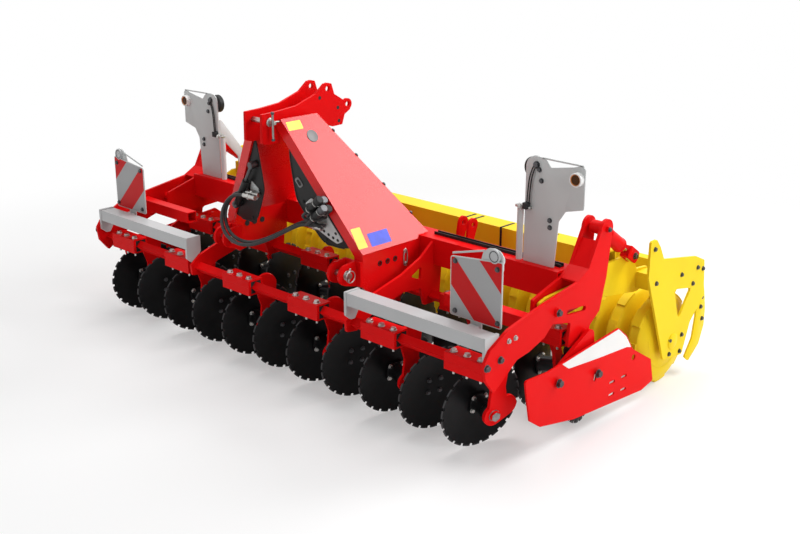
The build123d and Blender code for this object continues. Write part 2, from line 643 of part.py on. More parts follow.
def rear_light_boards():
    """Cranked plates for the rear lights, standing on the main beam."""
    beam_top = BEAM_Z + BEAM_SIDE
    corners = [(0, beam_top), (0, 1165), (40, 1203), (295, 1203), (314, 1185), (314, 1011), (220, 987),
               (186, 936), (170, beam_top)]
    face = outline([(REAR_BOARD_X + u, v) for u, v in corners], 10)
    return mirrored(extrude(Plane.XZ.offset(-REAR_BOARD_Y) * face, -BOARD_T))


def board_posts():
    """Round posts beside the rear light boards."""
    beam_top = BEAM_Z + BEAM_SIDE
    foot = Pos(REAR_BOARD_X - POST_R - POST_GAP, REAR_BOARD_Y + BOARD_T, (beam_top + POST_TOP_Z) / 2)
    return mirrored(foot * Cylinder(POST_R, POST_TOP_Z - beam_top))


def lamps():
    """Ring lamps on the rear light boards and round lamps on the warning boards."""
    rear = Pos(REAR_BOARD_X + 280, REAR_BOARD_Y - 10, 1142) * Rot(90, 0, 0) * Cylinder(29, 20)
    front = Pos(LIGHT_BAR_OUT_X - 38, WARN_Y + BOARD_T + 12, 890) * Rot(90, 0, 0) * Cylinder(26, 24)
    return mirrored(rear) + mirrored(front)


def hose_rails():
    """Black rails for hoses along the top of the main beam."""
    beam_top = BEAM_Z + BEAM_SIDE
    inner, outer = LEG_FOLD_X + 40, INNER_PLATE_X - 30
    rail = block(inner, outer, BEAM_FRONT_Y + 62, BEAM_FRONT_Y + 92, beam_top, beam_top + 14)
    trough = block(inner, outer, BEAM_FRONT_Y + 67, BEAM_FRONT_Y + 87, beam_top + 5, beam_top + 14)
    return mirrored(rail - trough)


def hose(step):
    """Hydraulic hose hanging in a loop in front of the headstock, from coupling to coupling."""
    left_x = HOSE_LEFT_X - COUPLING_L / 2
    left_y = coupling_y(HOSE_LEFT_X, HOSE_LEFT_Z)
    right_x = HOSE_RIGHT_X - COUPLING_L / 2
    right_y = coupling_y(HOSE_RIGHT_X, HOSE_RIGHT_Z)
    route = [(left_x, left_y, HOSE_LEFT_Z), (left_x - 65, left_y, HOSE_LEFT_Z), (-345, -52, 858),
             (-380, -72, 800), (-375, -90, 735), (-330, -104, 682), (-262, -112, 658), (-185, -115, 655),
             (-105, -113, 672), (-25, -104, 705), (50, -84, 745), (120, -50, 790),
             (right_x - 65, right_y, HOSE_RIGHT_Z), (right_x, right_y, HOSE_RIGHT_Z)]
    points = [Vector(x, y - step * HOSE_STEP_Y, z - step * HOSE_STEP_Z) for x, y, z in route]
    radii = []
    for before, here, after in zip(points, points[1:], points[2:]):
        turn = math.radians((here - before).get_angle(after - here))
        radii.append(0.45 * min((here - before).length, (after - here).length) / math.tan(turn / 2))
    path = FilletPolyline(*points, radius=radii)
    tube = sweep(Plane(origin=path @ 0, z_dir=path % 0) * Circle(HOSE_R), path=path)
    print("hose radii", [round(radius) for radius in radii], "length", round(path.length))
    print("hose volume ratio", round(tube.volume / (math.pi * HOSE_R ** 2 * path.length), 4))
    return tube


# Roller and what carries it

def roller_frame():
    """Roller arms on their pivot, the beam between them and the blocks that hold the end plates."""
    arm_face = outline(
        [(250, 570), (250, 626), (300, 640), (640, 655), (720, 690), (860, 690), (880, 728), (930, 728),
         (1000, 605), (1100, 596), (1100, 505), (1004, 490), (717, 535), (420, 560)], 12)
    arm_face -= Pos(PIVOT_Y, PIVOT_Z) * Circle(PIVOT_R + RUNNING_GAP)
    plate = plate_x(arm_face, ROLL_ARM_X, ROLL_ARM_T)
    pin = rod_x(EYE_PIN_R, ROLL_ARM_X, ROLL_ARM_X + ROLL_ARM_T + 2 * EYE_GAP + EYE_T + 4, EYE_Y, EYE_Z)
    link = block(ROLL_ARM_X, END_PLATE_X, 1000, 1090, 512, 590)
    arm_set = plate + pin + link
    side = ROLL_BEAM_SIDE
    beam = square_tube_x(-ROLL_ARM_X - 1, ROLL_ARM_X + 1, ROLL_BEAM_Y, ROLL_BEAM_Z, side, side, ROLL_BEAM_WALL)
    return [arm_set + mirror(arm_set, about=Plane.YZ) + beam]


def end_plates():
    """Roller end plates with the bearing housings on their inner faces."""
    face = outline(
        [(894, 787), (942, 789), (979, 745), (1017, 678), (1316, 624), (1398, 587), (1414, 451), (1428, 405),
         (1305, 290), (1247, 135), (1076, 153), (894, 610)], 14)
    face -= outline([(1130, 500), (1290, 470), (1190, 330)], 12)
    plate = plate_x(face, END_PLATE_X, END_PLATE_T)
    bearing = rod_x(BEARING_R, END_PLATE_X - BEARING_T, END_PLATE_X, ROLLER_Y, ROLLER_R)
    outside = END_PLATE_X + END_PLATE_T
    bore = rod_x(SHAFT_R + RUNNING_GAP, END_PLATE_X - BEARING_T - 1, outside + 1, ROLLER_Y, ROLLER_R)
    return mirrored(plate + bearing - bore)


def scraper_bar():
    """Bar behind the roller with a scraper finger in each gap between rings."""
    rear, top = SCRAPER_Y + SCRAPER_SIDE, SCRAPER_Z + SCRAPER_SIDE
    bar = block(-END_PLATE_X, END_PLATE_X, SCRAPER_Y, rear, SCRAPER_Z, top)
    finger_face = outline([(SCRAPER_Y + 20, SCRAPER_Z + 4), (SCRAPER_Y + 50, SCRAPER_Z + 4), (1392, 400),
                           (1330, 330), (1322, 345), (1365, 410)])
    for gap in range(RING_COUNT - 1):
        middle = (gap - (RING_COUNT - 2) / 2) * RING_PITCH
        bar += plate_x(finger_face, middle - 12, 24)
    return [bar]


def cleat_gap():
    """Space between two cleats of a ring, its middle on +Y."""
    half = math.radians(360 / CLEATS - CLEAT_ANGLE) / 2
    floor_r = ROLLER_R - CLEAT_H
    top_r = ROLLER_R + CLEAT_H
    low = [(floor_r * math.cos(turn), floor_r * math.sin(turn)) for turn in (-half, 0, half)]
    high = [(top_r * math.cos(turn), top_r * math.sin(turn)) for turn in (half, 0, -half)]
    edges = [ThreePointArc(*low), Line(low[-1], high[0]), ThreePointArc(*high), Line(high[-1], low[0])]
    return plate_x(make_face(edges), -RING_BASE_W / 2, RING_BASE_W)


def roller():
    """Drum with wedge rings, each with its row of cleats, turning on its end shafts."""
    half_span = (RING_COUNT - 1) / 2 * RING_PITCH
    shaft_end = END_PLATE_X + END_PLATE_T - 2
    drum_end = half_span + RING_BASE_W / 2
    points = [(-shaft_end, 0), (-shaft_end, SHAFT_R), (-drum_end, SHAFT_R), (-drum_end, DRUM_R)]
    for ring in range(RING_COUNT):
        middle = ring * RING_PITCH - half_span
        if ring:
            points.append((middle - RING_BASE_W / 2, DRUM_R))
        points.append((middle - RING_RIM_W / 2, ROLLER_R))
        points.append((middle + RING_RIM_W / 2, ROLLER_R))
        points.append((middle + RING_BASE_W / 2, DRUM_R))
    points += [(drum_end, SHAFT_R), (shaft_end, SHAFT_R), (shaft_end, 0)]
    turned = revolve(make_face(Polyline(*points, close=True)), Axis.X)
    between = cleat_gap()
    pitch = 360 / CLEATS
    gaps = [Pos(ring * RING_PITCH - half_span, 0, 0) * Rot(ring * CLEAT_STEP + step * pitch, 0, 0) * between
            for ring in range(RING_COUNT) for step in range(CLEATS)]
    return [Pos(0, ROLLER_Y, ROLLER_R) * (turned - gaps)]


def cylinder_frame(x):
    """Location on the cylinder's top pin with its local X along the rod."""
    angle = math.degrees(math.atan2(EYE_Z - CYL_TOP_Z, EYE_Y - CYL_TOP_Y))
    return Pos(x, CYL_TOP_Y, CYL_TOP_Z) * Rot(angle, 0, 0) * Rot(0, 0, 90)


def barrel():
    """Cylinder barrel with its eye round the top pin, rod along local X."""
    neck = Pos((24 + NECK_LENGTH) / 2, 0, 0) * Rot(0, 90, 0) * Cylinder(NECK_R, NECK_LENGTH - 24)
    middle = (NECK_LENGTH + BARREL_LENGTH) / 2
    tube = Pos(middle, 0, 0) * Rot(0, 90, 0) * Cylinder(BARREL_R, BARREL_LENGTH - NECK_LENGTH)
    eye = Rot(90, 0, 0) * Cylinder(30, 2 * NECK_R)
    pin_hole = Rot(90, 0, 0) * Cylinder(CYL_PIN_R + RUNNING_GAP, 2 * NECK_R + 2)
    bore = Cylinder(ROD_R + RUNNING_GAP, BARREL_LENGTH - 48)
    return neck + tube + eye - pin_hole - Pos((50 + BARREL_LENGTH) / 2 + 1, 0, 0) * Rot(0, 90, 0) * bore


def rod():
    """Piston rod with its eye at the roller arm's pin."""
    length = math.hypot(EYE_Y - CYL_TOP_Y, EYE_Z - CYL_TOP_Z)
    start = BARREL_LENGTH - 52
    end = length - EYE_R + 4
    bar = Pos((start + end) / 2, 0, 0) * Rot(0, 90, 0) * Cylinder(ROD_R, end - start)
    eye = Pos(length, 0, 0) * Rot(90, 0, 0) * Cylinder(EYE_R, EYE_T)
    hole = Pos(length, 0, 0) * Rot(90, 0, 0) * Cylinder(EYE_PIN_R + EYE_DRIFT, EYE_T + 2)
    return bar + eye - hole


def side_board():
    """Side board on its swing bolt, with the curved slot that limits its swing."""
    face = outline(
        [(-5, 385), (150, 378), (675, 430), (745, 375), (805, 290), (970, 190), (1000, 72), (905, 50),
         (360, 88), (110, 138), (35, 190), (5, 330)], 12)
    face -= Pos(SWING_Y, SWING_Z) * Circle(SWING_R + RUNNING_GAP)
    reach = Vector(SLOT_Y - SWING_Y, SLOT_Z - SWING_Z)
    for step in range(7):
        turned = reach.rotate(Axis.Z, -SWING_RANGE * step / 6)
        face -= Pos(SWING_Y + turned.X, SWING_Z + turned.Y) * Circle(SLOT_R + 1)
    for y, z in BOARD_SLOTS:
        face -= Pos(y, z) * SlotOverall(BOARD_SLOT_LENGTH, BOARD_SLOT_H)
    face -= Pos(*BOARD_HOLE) * Circle(BOARD_HOLE_R)
    return plate_x(face, SIDE_BOARD_X, SIDE_BOARD_T)


def main():
    """Builds and writes every node."""
    os.makedirs("parts", exist_ok=True)
    row_pieces()
    right_frame = side_frame()
    export("side_frame_right", [right_frame])
    export("side_frame_left", [mirror(right_frame, about=Plane.YZ)])
    nodes = {
        "toolbars": toolbars(), "main_beam": main_beam(), "side_stubs": side_stubs(),
        "toolbar_carriers": toolbar_carriers(), "drill_lugs": drill_lugs(), "headstock": headstock(),
        "top_link_plates": top_link_plates(), "lower_link_brackets": lower_link_brackets(),
        "hitch_pins": hitch_pins(), "inner_covers": inner_covers(), "hose_holders": hose_holders(),
        "light_bars": light_bars(), "warning_boards": warning_boards(),
        "rear_light_boards": rear_light_boards(),
        "board_posts": board_posts(), "lamps": lamps(), "hose_rails": hose_rails(), "hose_upper": [hose(0)],
        "hose_lower": [hose(1)], "roller_frame": roller_frame(), "roller_end_plates": end_plates(),
        "scraper_bar": scraper_bar(), "roller": roller(),
    }
    for name, shapes in nodes.items():
        export(name, shapes)
    for side, x in (("right", CYL_X), ("left", -CYL_X)):
        export("cylinder_barrel_" + side, [cylinder_frame(x) * barrel()])
        export("cylinder_rod_" + side, [cylinder_frame(x) * rod()])
    right_board = side_board()
    export("side_board_right", [right_board])
    export("side_board_left", [mirror(right_board, about=Plane.YZ)])


if __name__ == "__main__":
    main()
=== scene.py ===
import logging
import math
from dataclasses import dataclass
from enum import Enum
from typing import Dict, Iterable, List, Optional, Sequence, Tuple, Union

import bmesh
import bpy
from mathutils import Matrix, Vector


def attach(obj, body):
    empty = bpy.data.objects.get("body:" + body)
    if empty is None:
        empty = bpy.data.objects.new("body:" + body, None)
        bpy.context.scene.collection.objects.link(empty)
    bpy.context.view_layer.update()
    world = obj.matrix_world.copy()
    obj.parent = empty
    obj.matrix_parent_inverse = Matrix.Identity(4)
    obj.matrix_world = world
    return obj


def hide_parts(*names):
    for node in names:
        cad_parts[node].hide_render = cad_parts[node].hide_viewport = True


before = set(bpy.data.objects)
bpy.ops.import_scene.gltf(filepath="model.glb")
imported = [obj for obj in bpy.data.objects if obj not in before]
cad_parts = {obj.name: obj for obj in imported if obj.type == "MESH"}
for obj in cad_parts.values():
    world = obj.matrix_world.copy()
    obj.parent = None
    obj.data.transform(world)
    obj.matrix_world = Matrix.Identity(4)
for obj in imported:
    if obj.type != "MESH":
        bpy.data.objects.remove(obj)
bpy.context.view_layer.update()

# Finishes, fittings and studio of a 3 m disc harrow with a ring roller.
# Places are drawn in millimetres with the front disc row at Y = 0, and at() moves them to the part's frame.

LOG = logging.getLogger("harrow")
ORIGIN_Y = 614.0
MM = 0.001
CRISP = math.radians(35.0)
SIDES = (1, -1)
SIDE_NAMES = {1: "right", -1: "left"}
IN_PLACE = Matrix.Identity(4)

Colour = Tuple[float, float, float]
Point = Tuple[float, float, float]
Flat = Tuple[float, float]
Stock = bmesh.types.BMesh
Value = Union["Wire", float, Sequence[float]]


def at(x: float, y: float, z: float) -> Vector:
    """Place in the part's frame of a point drawn in millimetres."""
    return Vector((x, y - ORIGIN_Y, z)) * MM


def facing(origin: Vector, axis: Vector, up: Vector = Vector((0, 0, 1))) -> Matrix:
    """Frame with its Z along an axis.

    Args:
        origin: where the frame stands, in metres.
        axis: direction of the frame's Z.
        up: direction that the frame's Y leans to.

    Returns:
        The frame's matrix.
    """
    z = axis.normalized()
    x = up.cross(z)
    if x.length < 1e-5:
        x = Vector((0, 1, 0)).cross(z)
    x.normalize()
    y = z.cross(x)
    turn = Matrix((x, y, z)).transposed()
    return Matrix.Translation(origin) @ turn.to_4x4()


def across(side: int) -> Matrix:
    """Mirror over the machine's middle plane for side -1, nothing for side 1."""
    return Matrix.Diagonal((side, 1, 1, 1))


def outwards(side: int, x: float, y: float, z: float) -> Matrix:
    """Frame on a face that looks away from the machine, at a place drawn for the right side."""
    return facing(at(side * x, y, z), Vector((side, 0, 0)))


def forwards(x: float, y: float, z: float) -> Matrix:
    """Frame on a face that looks to the front."""
    return facing(at(x, y, z), Vector((0, -1, 0)))


def lengthwise(side: int, x: float) -> Matrix:
    """Frame of a plate that stands along the machine: X along the machine, Y upwards, Z outwards."""
    return across(side) @ facing(at(x, 0, 0), Vector((1, 0, 0)))


def shifted(x: float, y: float, z: float) -> Matrix:
    """Shift within a frame, in millimetres."""
    return Matrix.Translation((x * MM, y * MM, z * MM))


# Shader maths


class Wire:
    """An output socket whose shader maths reads as plain expressions."""

    def __init__(self, graph: "Graph", socket: bpy.types.NodeSocket) -> None:
        """Keeps the graph and the socket."""
        self.graph = graph
        self.socket = socket

    def maths(self, operation: str, *values: Value) -> "Wire":
        """Adds a Math node over the given values."""
        return self.graph.node("ShaderNodeMath", {"operation": operation}, dict(enumerate(values)))

    def __add__(self, other: Value) -> "Wire":
        """Sum."""
        return self.maths("ADD", self, other)

    __radd__ = __add__

    def __sub__(self, other: Value) -> "Wire":
        """Difference."""
        return self.maths("SUBTRACT", self, other)

    def __rsub__(self, other: Value) -> "Wire":
        """Difference from a number."""
        return self.maths("SUBTRACT", other, self)

    def __mul__(self, other: Value) -> "Wire":
        """Product."""
        return self.maths("MULTIPLY", self, other)

    __rmul__ = __mul__

    def __truediv__(self, other: Value) -> "Wire":
        """Quotient."""
        return self.maths("DIVIDE", self, other)

    def __abs__(self) -> "Wire":
        """Size without sign."""
        return self.maths("ABSOLUTE", self)

    def __mod__(self, other: Value) -> "Wire":
        """Rest of a division, never negative."""
        return self.maths("FLOORED_MODULO", self, other)

    def rise(self, low: float, high: float) -> "Wire":
        """Goes smoothly from 0 at low to 1 at high."""
        return self.graph.node("ShaderNodeMapRange", {"interpolation_type": "SMOOTHSTEP"},
                               {0: self, 1: low, 2: high, 3: 0.0, 4: 1.0})


class Graph:
    """The node tree of one material, or of the world."""

    def __init__(self, tree: bpy.types.NodeTree) -> None:
        """Starts from an empty tree."""
        self.tree = tree
        tree.nodes.clear()

    def node(self, kind: str, settings: Optional[Dict[str, object]] = None,
             sockets: Optional[Dict[Union[int, str], Value]] = None, output: Union[int, str] = 0) -> Wire:
        """Adds a node.

        Args:
            kind: the node's type.
            settings: its own settings, set before its sockets.
            sockets: values or wires for its inputs, by number or name.
            output: which output is handed back.

        Returns:
            A wire from that output.
        """
        made = self.tree.nodes.new(kind)
        for key, value in (settings or {}).items():
            setattr(made, key, value)
        for key, value in (sockets or {}).items():
            if isinstance(value, Wire):
                self.tree.links.new(value.socket, made.inputs[key])
            elif made.inputs[key].type == "RGBA":
                made.inputs[key].default_value = (*value, 1.0)
            else:
                made.inputs[key].default_value = value
        return Wire(self, made.outputs[output] if made.outputs else None)

    def place(self, kind: str = "Object") -> Wire:
        """Texture coordinates of the given kind."""
        return self.node("ShaderNodeTexCoord", output=kind)

    def noise(self, scale: float, detail: float = 3.0, where: Optional[Wire] = None) -> Wire:
        """Noise between 0 and 1 at a scale per metre."""
        return self.node("ShaderNodeTexNoise", None,
                         {"Vector": where or self.place(), "Scale": scale, "Detail": detail})

    def stretched(self, scale: Point, kind: str = "Object") -> Wire:
        """Coordinates pulled by a factor along each axis."""
        return self.node("ShaderNodeMapping", None, {"Vector": self.place(kind), "Scale": scale})

    def mix(self, share: Value, first: Value, second: Value) -> Wire:
        """Colour between two colours."""
        return self.node("ShaderNodeMix", {"data_type": "RGBA"}, {0: share, 6: first, 7: second}, 2)

    def parts(self, vector: Wire) -> Tuple[Wire, Wire, Wire]:
        """The three numbers of a vector."""
        split = self.node("ShaderNodeSeparateXYZ", None, {0: vector}).socket.node
        return tuple(Wire(self, split.outputs[index]) for index in range(3))

    def edge(self, radius: float) -> Tuple[Wire, Wire]:
        """Rounded normal at sharp edges and a mask that is 1 along them.

        Args:
            radius: how far the rounding reaches, in metres.

        Returns:
            The normal and the mask.
        """
        soft = self.node("ShaderNodeBevel", {"samples": 4}, {"Radius": radius})
        flat = self.node("ShaderNodeNewGeometry", output="True Normal")
        same = self.node("ShaderNodeVectorMath", {"operation": "DOT_PRODUCT"}, {0: soft, 1: flat}, "Value")
        return soft, (1 - same).rise(0.01, 0.2)

    def bump(self, height: Wire, distance: float, normal: Optional[Wire] = None) -> Wire:
        """Normal bent by a height that is 1 at the given distance in metres.

        Args:
            height: the height.
            distance: how high 1 is.
            normal: the normal that is bent, or none for the surface's own.

        Returns:
            The bent normal.
        """
        sockets = {"Height": height, "Distance": distance, "Strength": 1.0}
        if normal is not None:
            sockets["Normal"] = normal
        return self.node("ShaderNodeBump", None, sockets)

    def surface(self, **sockets: Value) -> Wire:
        """Ends the tree in a Principled surface with the given sockets.

        Args:
            sockets: values or wires by socket name, with _ for each blank.

        Returns:
            The surface.
        """
        named = {key.replace("_", " "): value for key, value in sockets.items()}
        shader = self.node("ShaderNodeBsdfPrincipled", None, named)
        self.node("ShaderNodeOutputMaterial", None, {"Surface": shader})
        return shader


def toned(colour: Colour, factor: float) -> Colour:
    """A colour made lighter or darker, kept below full white."""
    return tuple(min(0.95, part * factor) for part in colour)


# Finishes


@dataclass(frozen=True)
class Finish:
    """A surface that a piece can be given.

    Attributes:
        name: the material's name.
        slot: the record's slot that it belongs to.
        colour: its main colour, linear.
    """

    name: str
    slot: str
    colour: Colour

    def material(self) -> bpy.types.Material:
        """The finish as a material, made on its first use.

        Returns:
            The material.
        """
        made = bpy.data.materials.get(self.name)
        if made is None:
            made = bpy.data.materials.new(self.name)
            made.use_nodes = True
            self.shade(Graph(made.node_tree))
        return made

    def shade(self, graph: Graph) -> None:
        """Builds the material's nodes."""
        graph.surface(Base_Color=graph.mix(graph.noise(90.0), toned(self.colour, 0.8), self.colour))


@dataclass(frozen=True)
class Paint(Finish):
    """Baked machine paint: slow drift of shade, fine orange peel, and paler along edges as a painted highlight.
    """

    roughness: float = 0.3
    shine: float = 0.5
    edge: float = 0.0022
    peel: float = 0.00003

    def shade(self, graph: Graph) -> None:
        """Builds the paint's nodes.

        Args:
            graph: the material's empty tree.
        """
        normal, edge = graph.edge(self.edge)
        drift = graph.noise(2.2, 4.0)
        speck = graph.noise(160.0, 2.0)
        peel = graph.noise(620.0, 1.0)
        base = graph.mix(drift.rise(0.35, 0.65), toned(self.colour, 0.93), self.colour)
        # Paler colour along sharp edges, broken up by speck: a painted highlight.
        edge_highlight = graph.mix(edge * speck.rise(0.35, 0.6) * 0.3, base, toned(self.colour, 1.25))
        dull = self.roughness + (speck - 0.5) * 0.03 + (drift - 0.5) * 0.08 + edge * 0.05
        graph.surface(Base_Color=edge_highlight, Roughness=dull, Specular_IOR_Level=self.shine,
                      Normal=graph.bump(peel, self.peel, normal))


@dataclass(frozen=True)
class Metal(Finish):
    """Bare or plated steel with fine scratches and duller patches."""

    roughness: float = 0.3
    scratch: Point = (60.0, 900.0, 900.0)

    def shade(self, graph: Graph) -> None:
        """Builds the metal's nodes.

        Args:
            graph: the material's empty tree.
        """
        lines = graph.noise(1.0, 2.0, graph.stretched(self.scratch))
        patch = graph.noise(35.0, 4.0)
        base = graph.mix(patch.rise(0.35, 0.7), toned(self.colour, 0.72), self.colour)
        dull = self.roughness + (patch - 0.5) * 0.24 + (lines - 0.5) * 0.12
        graph.surface(Base_Color=base, Metallic=1.0, Roughness=dull, Normal=graph.bump(lines, 0.00002))


@dataclass(frozen=True)
class Moulded(Finish):
    """Moulded plastic or rubber with a fine pebbled grain."""

    roughness: float = 0.5
    grain: float = 900.0
    depth: float = 0.00006
    shine: float = 0.2

    def shade(self, graph: Graph) -> None:
        """Builds the grain's nodes.

        Args:
            graph: the material's empty tree.
        """
        pebble = graph.noise(self.grain, 2.0)
        cloud = graph.noise(14.0, 4.0)
        base = graph.mix(cloud.rise(0.35, 0.7), self.colour, toned(self.colour, 1.7))
        dull = self.roughness + (cloud - 0.5) * 0.2
        graph.surface(Base_Color=base, Roughness=dull, Specular_IOR_Level=self.shine,
                      Normal=graph.bump(pebble, self.depth))


@dataclass(frozen=True)
class BladeSteel(Finish):
    """Black rolled blade steel: turned rings round the middle, rim ground bright."""

    rim: float = 0.2015

    def shade(self, graph: Graph) -> None:
        """Builds the blade's nodes on its own flat map, which is in metres from the middle.

        Args:
            graph: the material's empty tree.
        """
        flat = graph.place("UV")
        reach = graph.node("ShaderNodeVectorMath", {"operation": "LENGTH"}, {0: flat}, "Value")
        cloud = graph.noise(9.0, 5.0)
        swirl = graph.node("ShaderNodeCombineXYZ", None, {0: reach * 420.0, 1: cloud * 0.6})
        rings = graph.noise(1.0, 3.0, swirl)
        scale = graph.noise(240.0, 4.0)
        ground = reach.rise(self.rim - 0.004, self.rim)
        base = graph.mix(cloud.rise(0.3, 0.7), self.colour, toned(self.colour, 2.1))
        bright = graph.mix(ground * 0.4, base, (0.12, 0.12, 0.125))
        dull = 0.36 + (cloud - 0.5) * 0.2 + (rings - 0.5) * 0.1
        height = rings * 0.6 + scale * 0.4
        graph.surface(Base_Color=bright, Roughness=dull, Specular_IOR_Level=0.11,
                      Normal=graph.bump(height, 0.00006))


@dataclass(frozen=True)
class Stripes(Finish):
    """Reflective sheet with diagonal bands, leaning the same way on both sides of the machine."""

    second: Colour = (0.5, 0.5, 0.5)
    period: float = 0.204
    start: float = 0.154
    corner: Flat = (1.120, 0.525)

    def shade(self, graph: Graph) -> None:
        """Builds the bands and the sheet's fine honeycomb.

        Args:
            graph: the material's empty tree.
        """
        x, _, z = graph.parts(graph.place())
        run = (abs(x) - self.corner[0] + z - self.corner[1]) * math.sqrt(0.5)
        phase = ((run - self.start) / self.period) % 1.0
        band = phase.rise(0.0, 0.006) * (1 - phase.rise(0.494, 0.5)) * run.rise(0.06, 0.062)
        cells = graph.node("ShaderNodeTexVoronoi", {"feature": "DISTANCE_TO_EDGE"},
                           {"Vector": graph.place(), "Scale": 260.0})
        seam = 1 - cells.rise(0.02, 0.1)
        plain = graph.mix(band, self.second, self.colour)
        drift = graph.noise(12.0)
        shown = graph.mix(seam * 0.1 + drift * 0.05, plain, (0.2, 0.12, 0.12))
        graph.surface(Base_Color=shown, Roughness=0.34 + drift * 0.12, Specular_IOR_Level=0.12,
                      Normal=graph.bump(seam, 0.00003))


@dataclass(frozen=True)
class Lens(Finish):
    """Ribbed lamp lens, darker in the hollows between its ribs as painted shade."""

    def shade(self, graph: Graph) -> None:
        """Builds the lens's ribs.

        Args:
            graph: the material's empty tree.
        """
        x, _, z = graph.parts(graph.stretched((700.0, 700.0, 700.0)))
        ribs = x.maths("SINE", x) * z.maths("SINE", z)
        # Colour drops to about a third in the low parts of the ribs: painted shade.
        base = graph.mix(ribs.rise(-0.5, 0.9), toned(self.colour, 0.35), self.colour)
        graph.surface(Base_Color=base, Roughness=0.2 + ribs * 0.03, Specular_IOR_Level=0.12,
                      Normal=graph.bump(ribs, 0.0002))


@dataclass(frozen=True)
class HoleShade(Finish):
    """Painted shade of a bolt hole or slot: a dull near-black sheet where the hole is."""

    def shade(self, graph: Graph) -> None:
        """Builds the nodes of the painted hole shade.

        Args:
            graph: the material's empty tree.
        """
        cloud = graph.noise(300.0)
        base = graph.mix(cloud, self.colour, toned(self.colour, 2.5))
        graph.surface(Base_Color=base, Roughness=0.8 + cloud * 0.1)


RED = Paint("machine_red", "red_paint", (0.78, 0.005, 0.006), 0.3, 0.045)
HOOD = Paint("headstock_red", "red_paint", (0.8, 0.005, 0.006), 0.27, 0.27)
YELLOW = Paint("roller_yellow", "yellow_paint", (0.88, 0.64, 0.018), 0.35, 0.05)
GREY = Paint("board_grey", "grey_paint", (0.585, 0.6, 0.595), 0.4, 0.2)
PALE = Paint("bar_pale_grey", "grey_paint", (0.52, 0.525, 0.53), 0.34, 0.3)
WHITE = Paint("panel_white", "grey_paint", (0.8, 0.8, 0.79), 0.3, 0.4)
BLADE = BladeSteel("blade_black", "disc_steel", (0.004, 0.004, 0.0044))
HUB = Paint("hub_black", "disc_steel", (0.006, 0.006, 0.0065), 0.34, 0.2)
BLACK = Moulded("cover_black", "black_plastic", (0.011, 0.011, 0.011), 0.46)
RUBBER = Moulded("rubber_black", "rubber", (0.016, 0.016, 0.016), 0.62, 420.0, 0.0001)
HOSE = Moulded("hose_rubber", "rubber", (0.03, 0.03, 0.031), 0.42, 520.0, 0.0001)
ZINC = Metal("zinc_plate", "bright_steel", (0.52, 0.51, 0.49), 0.34)
DARK = Metal("bolt_dark", "bright_steel", (0.1, 0.1, 0.105), 0.38)
STEEL = Metal("nut_steel", "bright_steel", (0.3, 0.295, 0.29), 0.36)
CHROME = Metal("rod_chrome", "chrome", (0.78, 0.78, 0.79), 0.12, (900.0, 30.0, 30.0))
AMBER = Lens("lamp_amber", "orange_lens", (0.12, 0.04, 0.006))
ORANGE = Paint("lamp_rim_orange", "orange_lens", (0.8, 0.3, 0.08), 0.3, 0.3)
TAIL = Lens("lamp_red", "orange_lens", (0.5, 0.012, 0.01))
HAZARD = Stripes("warning_stripes", "grey_paint", (0.62, 0.006, 0.008), (0.42, 0.425, 0.43))
LABEL_YELLOW = Moulded("label_yellow", "yellow_paint", (0.85, 0.72, 0.09), 0.4, 1500.0, 0.00001)
LABEL_BLUE = Moulded("label_blue", "grey_paint", (0.06, 0.09, 0.62), 0.4, 1500.0, 0.00001)
PLUG_GREY = Moulded("plug_grey", "grey_paint", (0.17, 0.165, 0.165), 0.5, 1200.0, 0.00004)
# Near-black sheets laid in holes and slots as painted shade.
HOLE_SHADE = HoleShade("hole_painted_shade", "black_plastic", (0.008, 0.007, 0.007))

NODE_FINISH: Dict[str, Finish] = {
    "yellow_paint": YELLOW, "red_paint": RED, "disc_steel": HUB, "grey_paint": GREY, "black_plastic": BLACK,
    "rubber": RUBBER, "bright_steel": ZINC, "chrome": CHROME, "orange_lens": AMBER,
}
NODE_OWN_FINISH: Dict[str, Finish] = {
    "headstock": HOOD, "light_bars": PALE, "board_posts": GREY, "lamps": PALE, "hose_rails": BLACK,
}


class Bolt(Enum):
    """Fastener sizes: width across flats, head height and washer radius in millimetres."""

    SMALL = (17.0, 7.0, 12.0)
    CLAMP = (24.0, 11.0, 17.0)
    PLATE = (30.0, 13.0, 21.0)
    AXLE = (41.0, 15.0, 27.0)


# Stock shapes, each a closed bmesh in metres that stands on its own XY plane


def soften(stock: Stock, pieces: Sequence, width: float, segments: int = 2, affect: str = "EDGES") -> None:
    """Bevels edges or corners by a width in millimetres.

    Args:
        stock: the shape.
        pieces: its edges or corners.
        width: how far the bevel reaches.
        segments: how many facets it has.
        affect: EDGES or VERTICES.
    """
    bmesh.ops.bevel(stock, geom=pieces, offset=width * MM, segments=segments, profile=0.5, affect=affect,
                    material=-1)


def block(size: Point, bevel: float = 0.0) -> Stock:
    """Box with softened edges.

    Args:
        size: its length along each axis, in millimetres.
        bevel: width of the softened edges.

    Returns:
        The box, centred.
    """
    stock = bmesh.new()
    bmesh.ops.create_cube(stock, size=1.0)
    bmesh.ops.scale(stock, vec=Vector(size) * MM, verts=stock.verts)
    if bevel:
        soften(stock, stock.edges[:], bevel)
    return stock


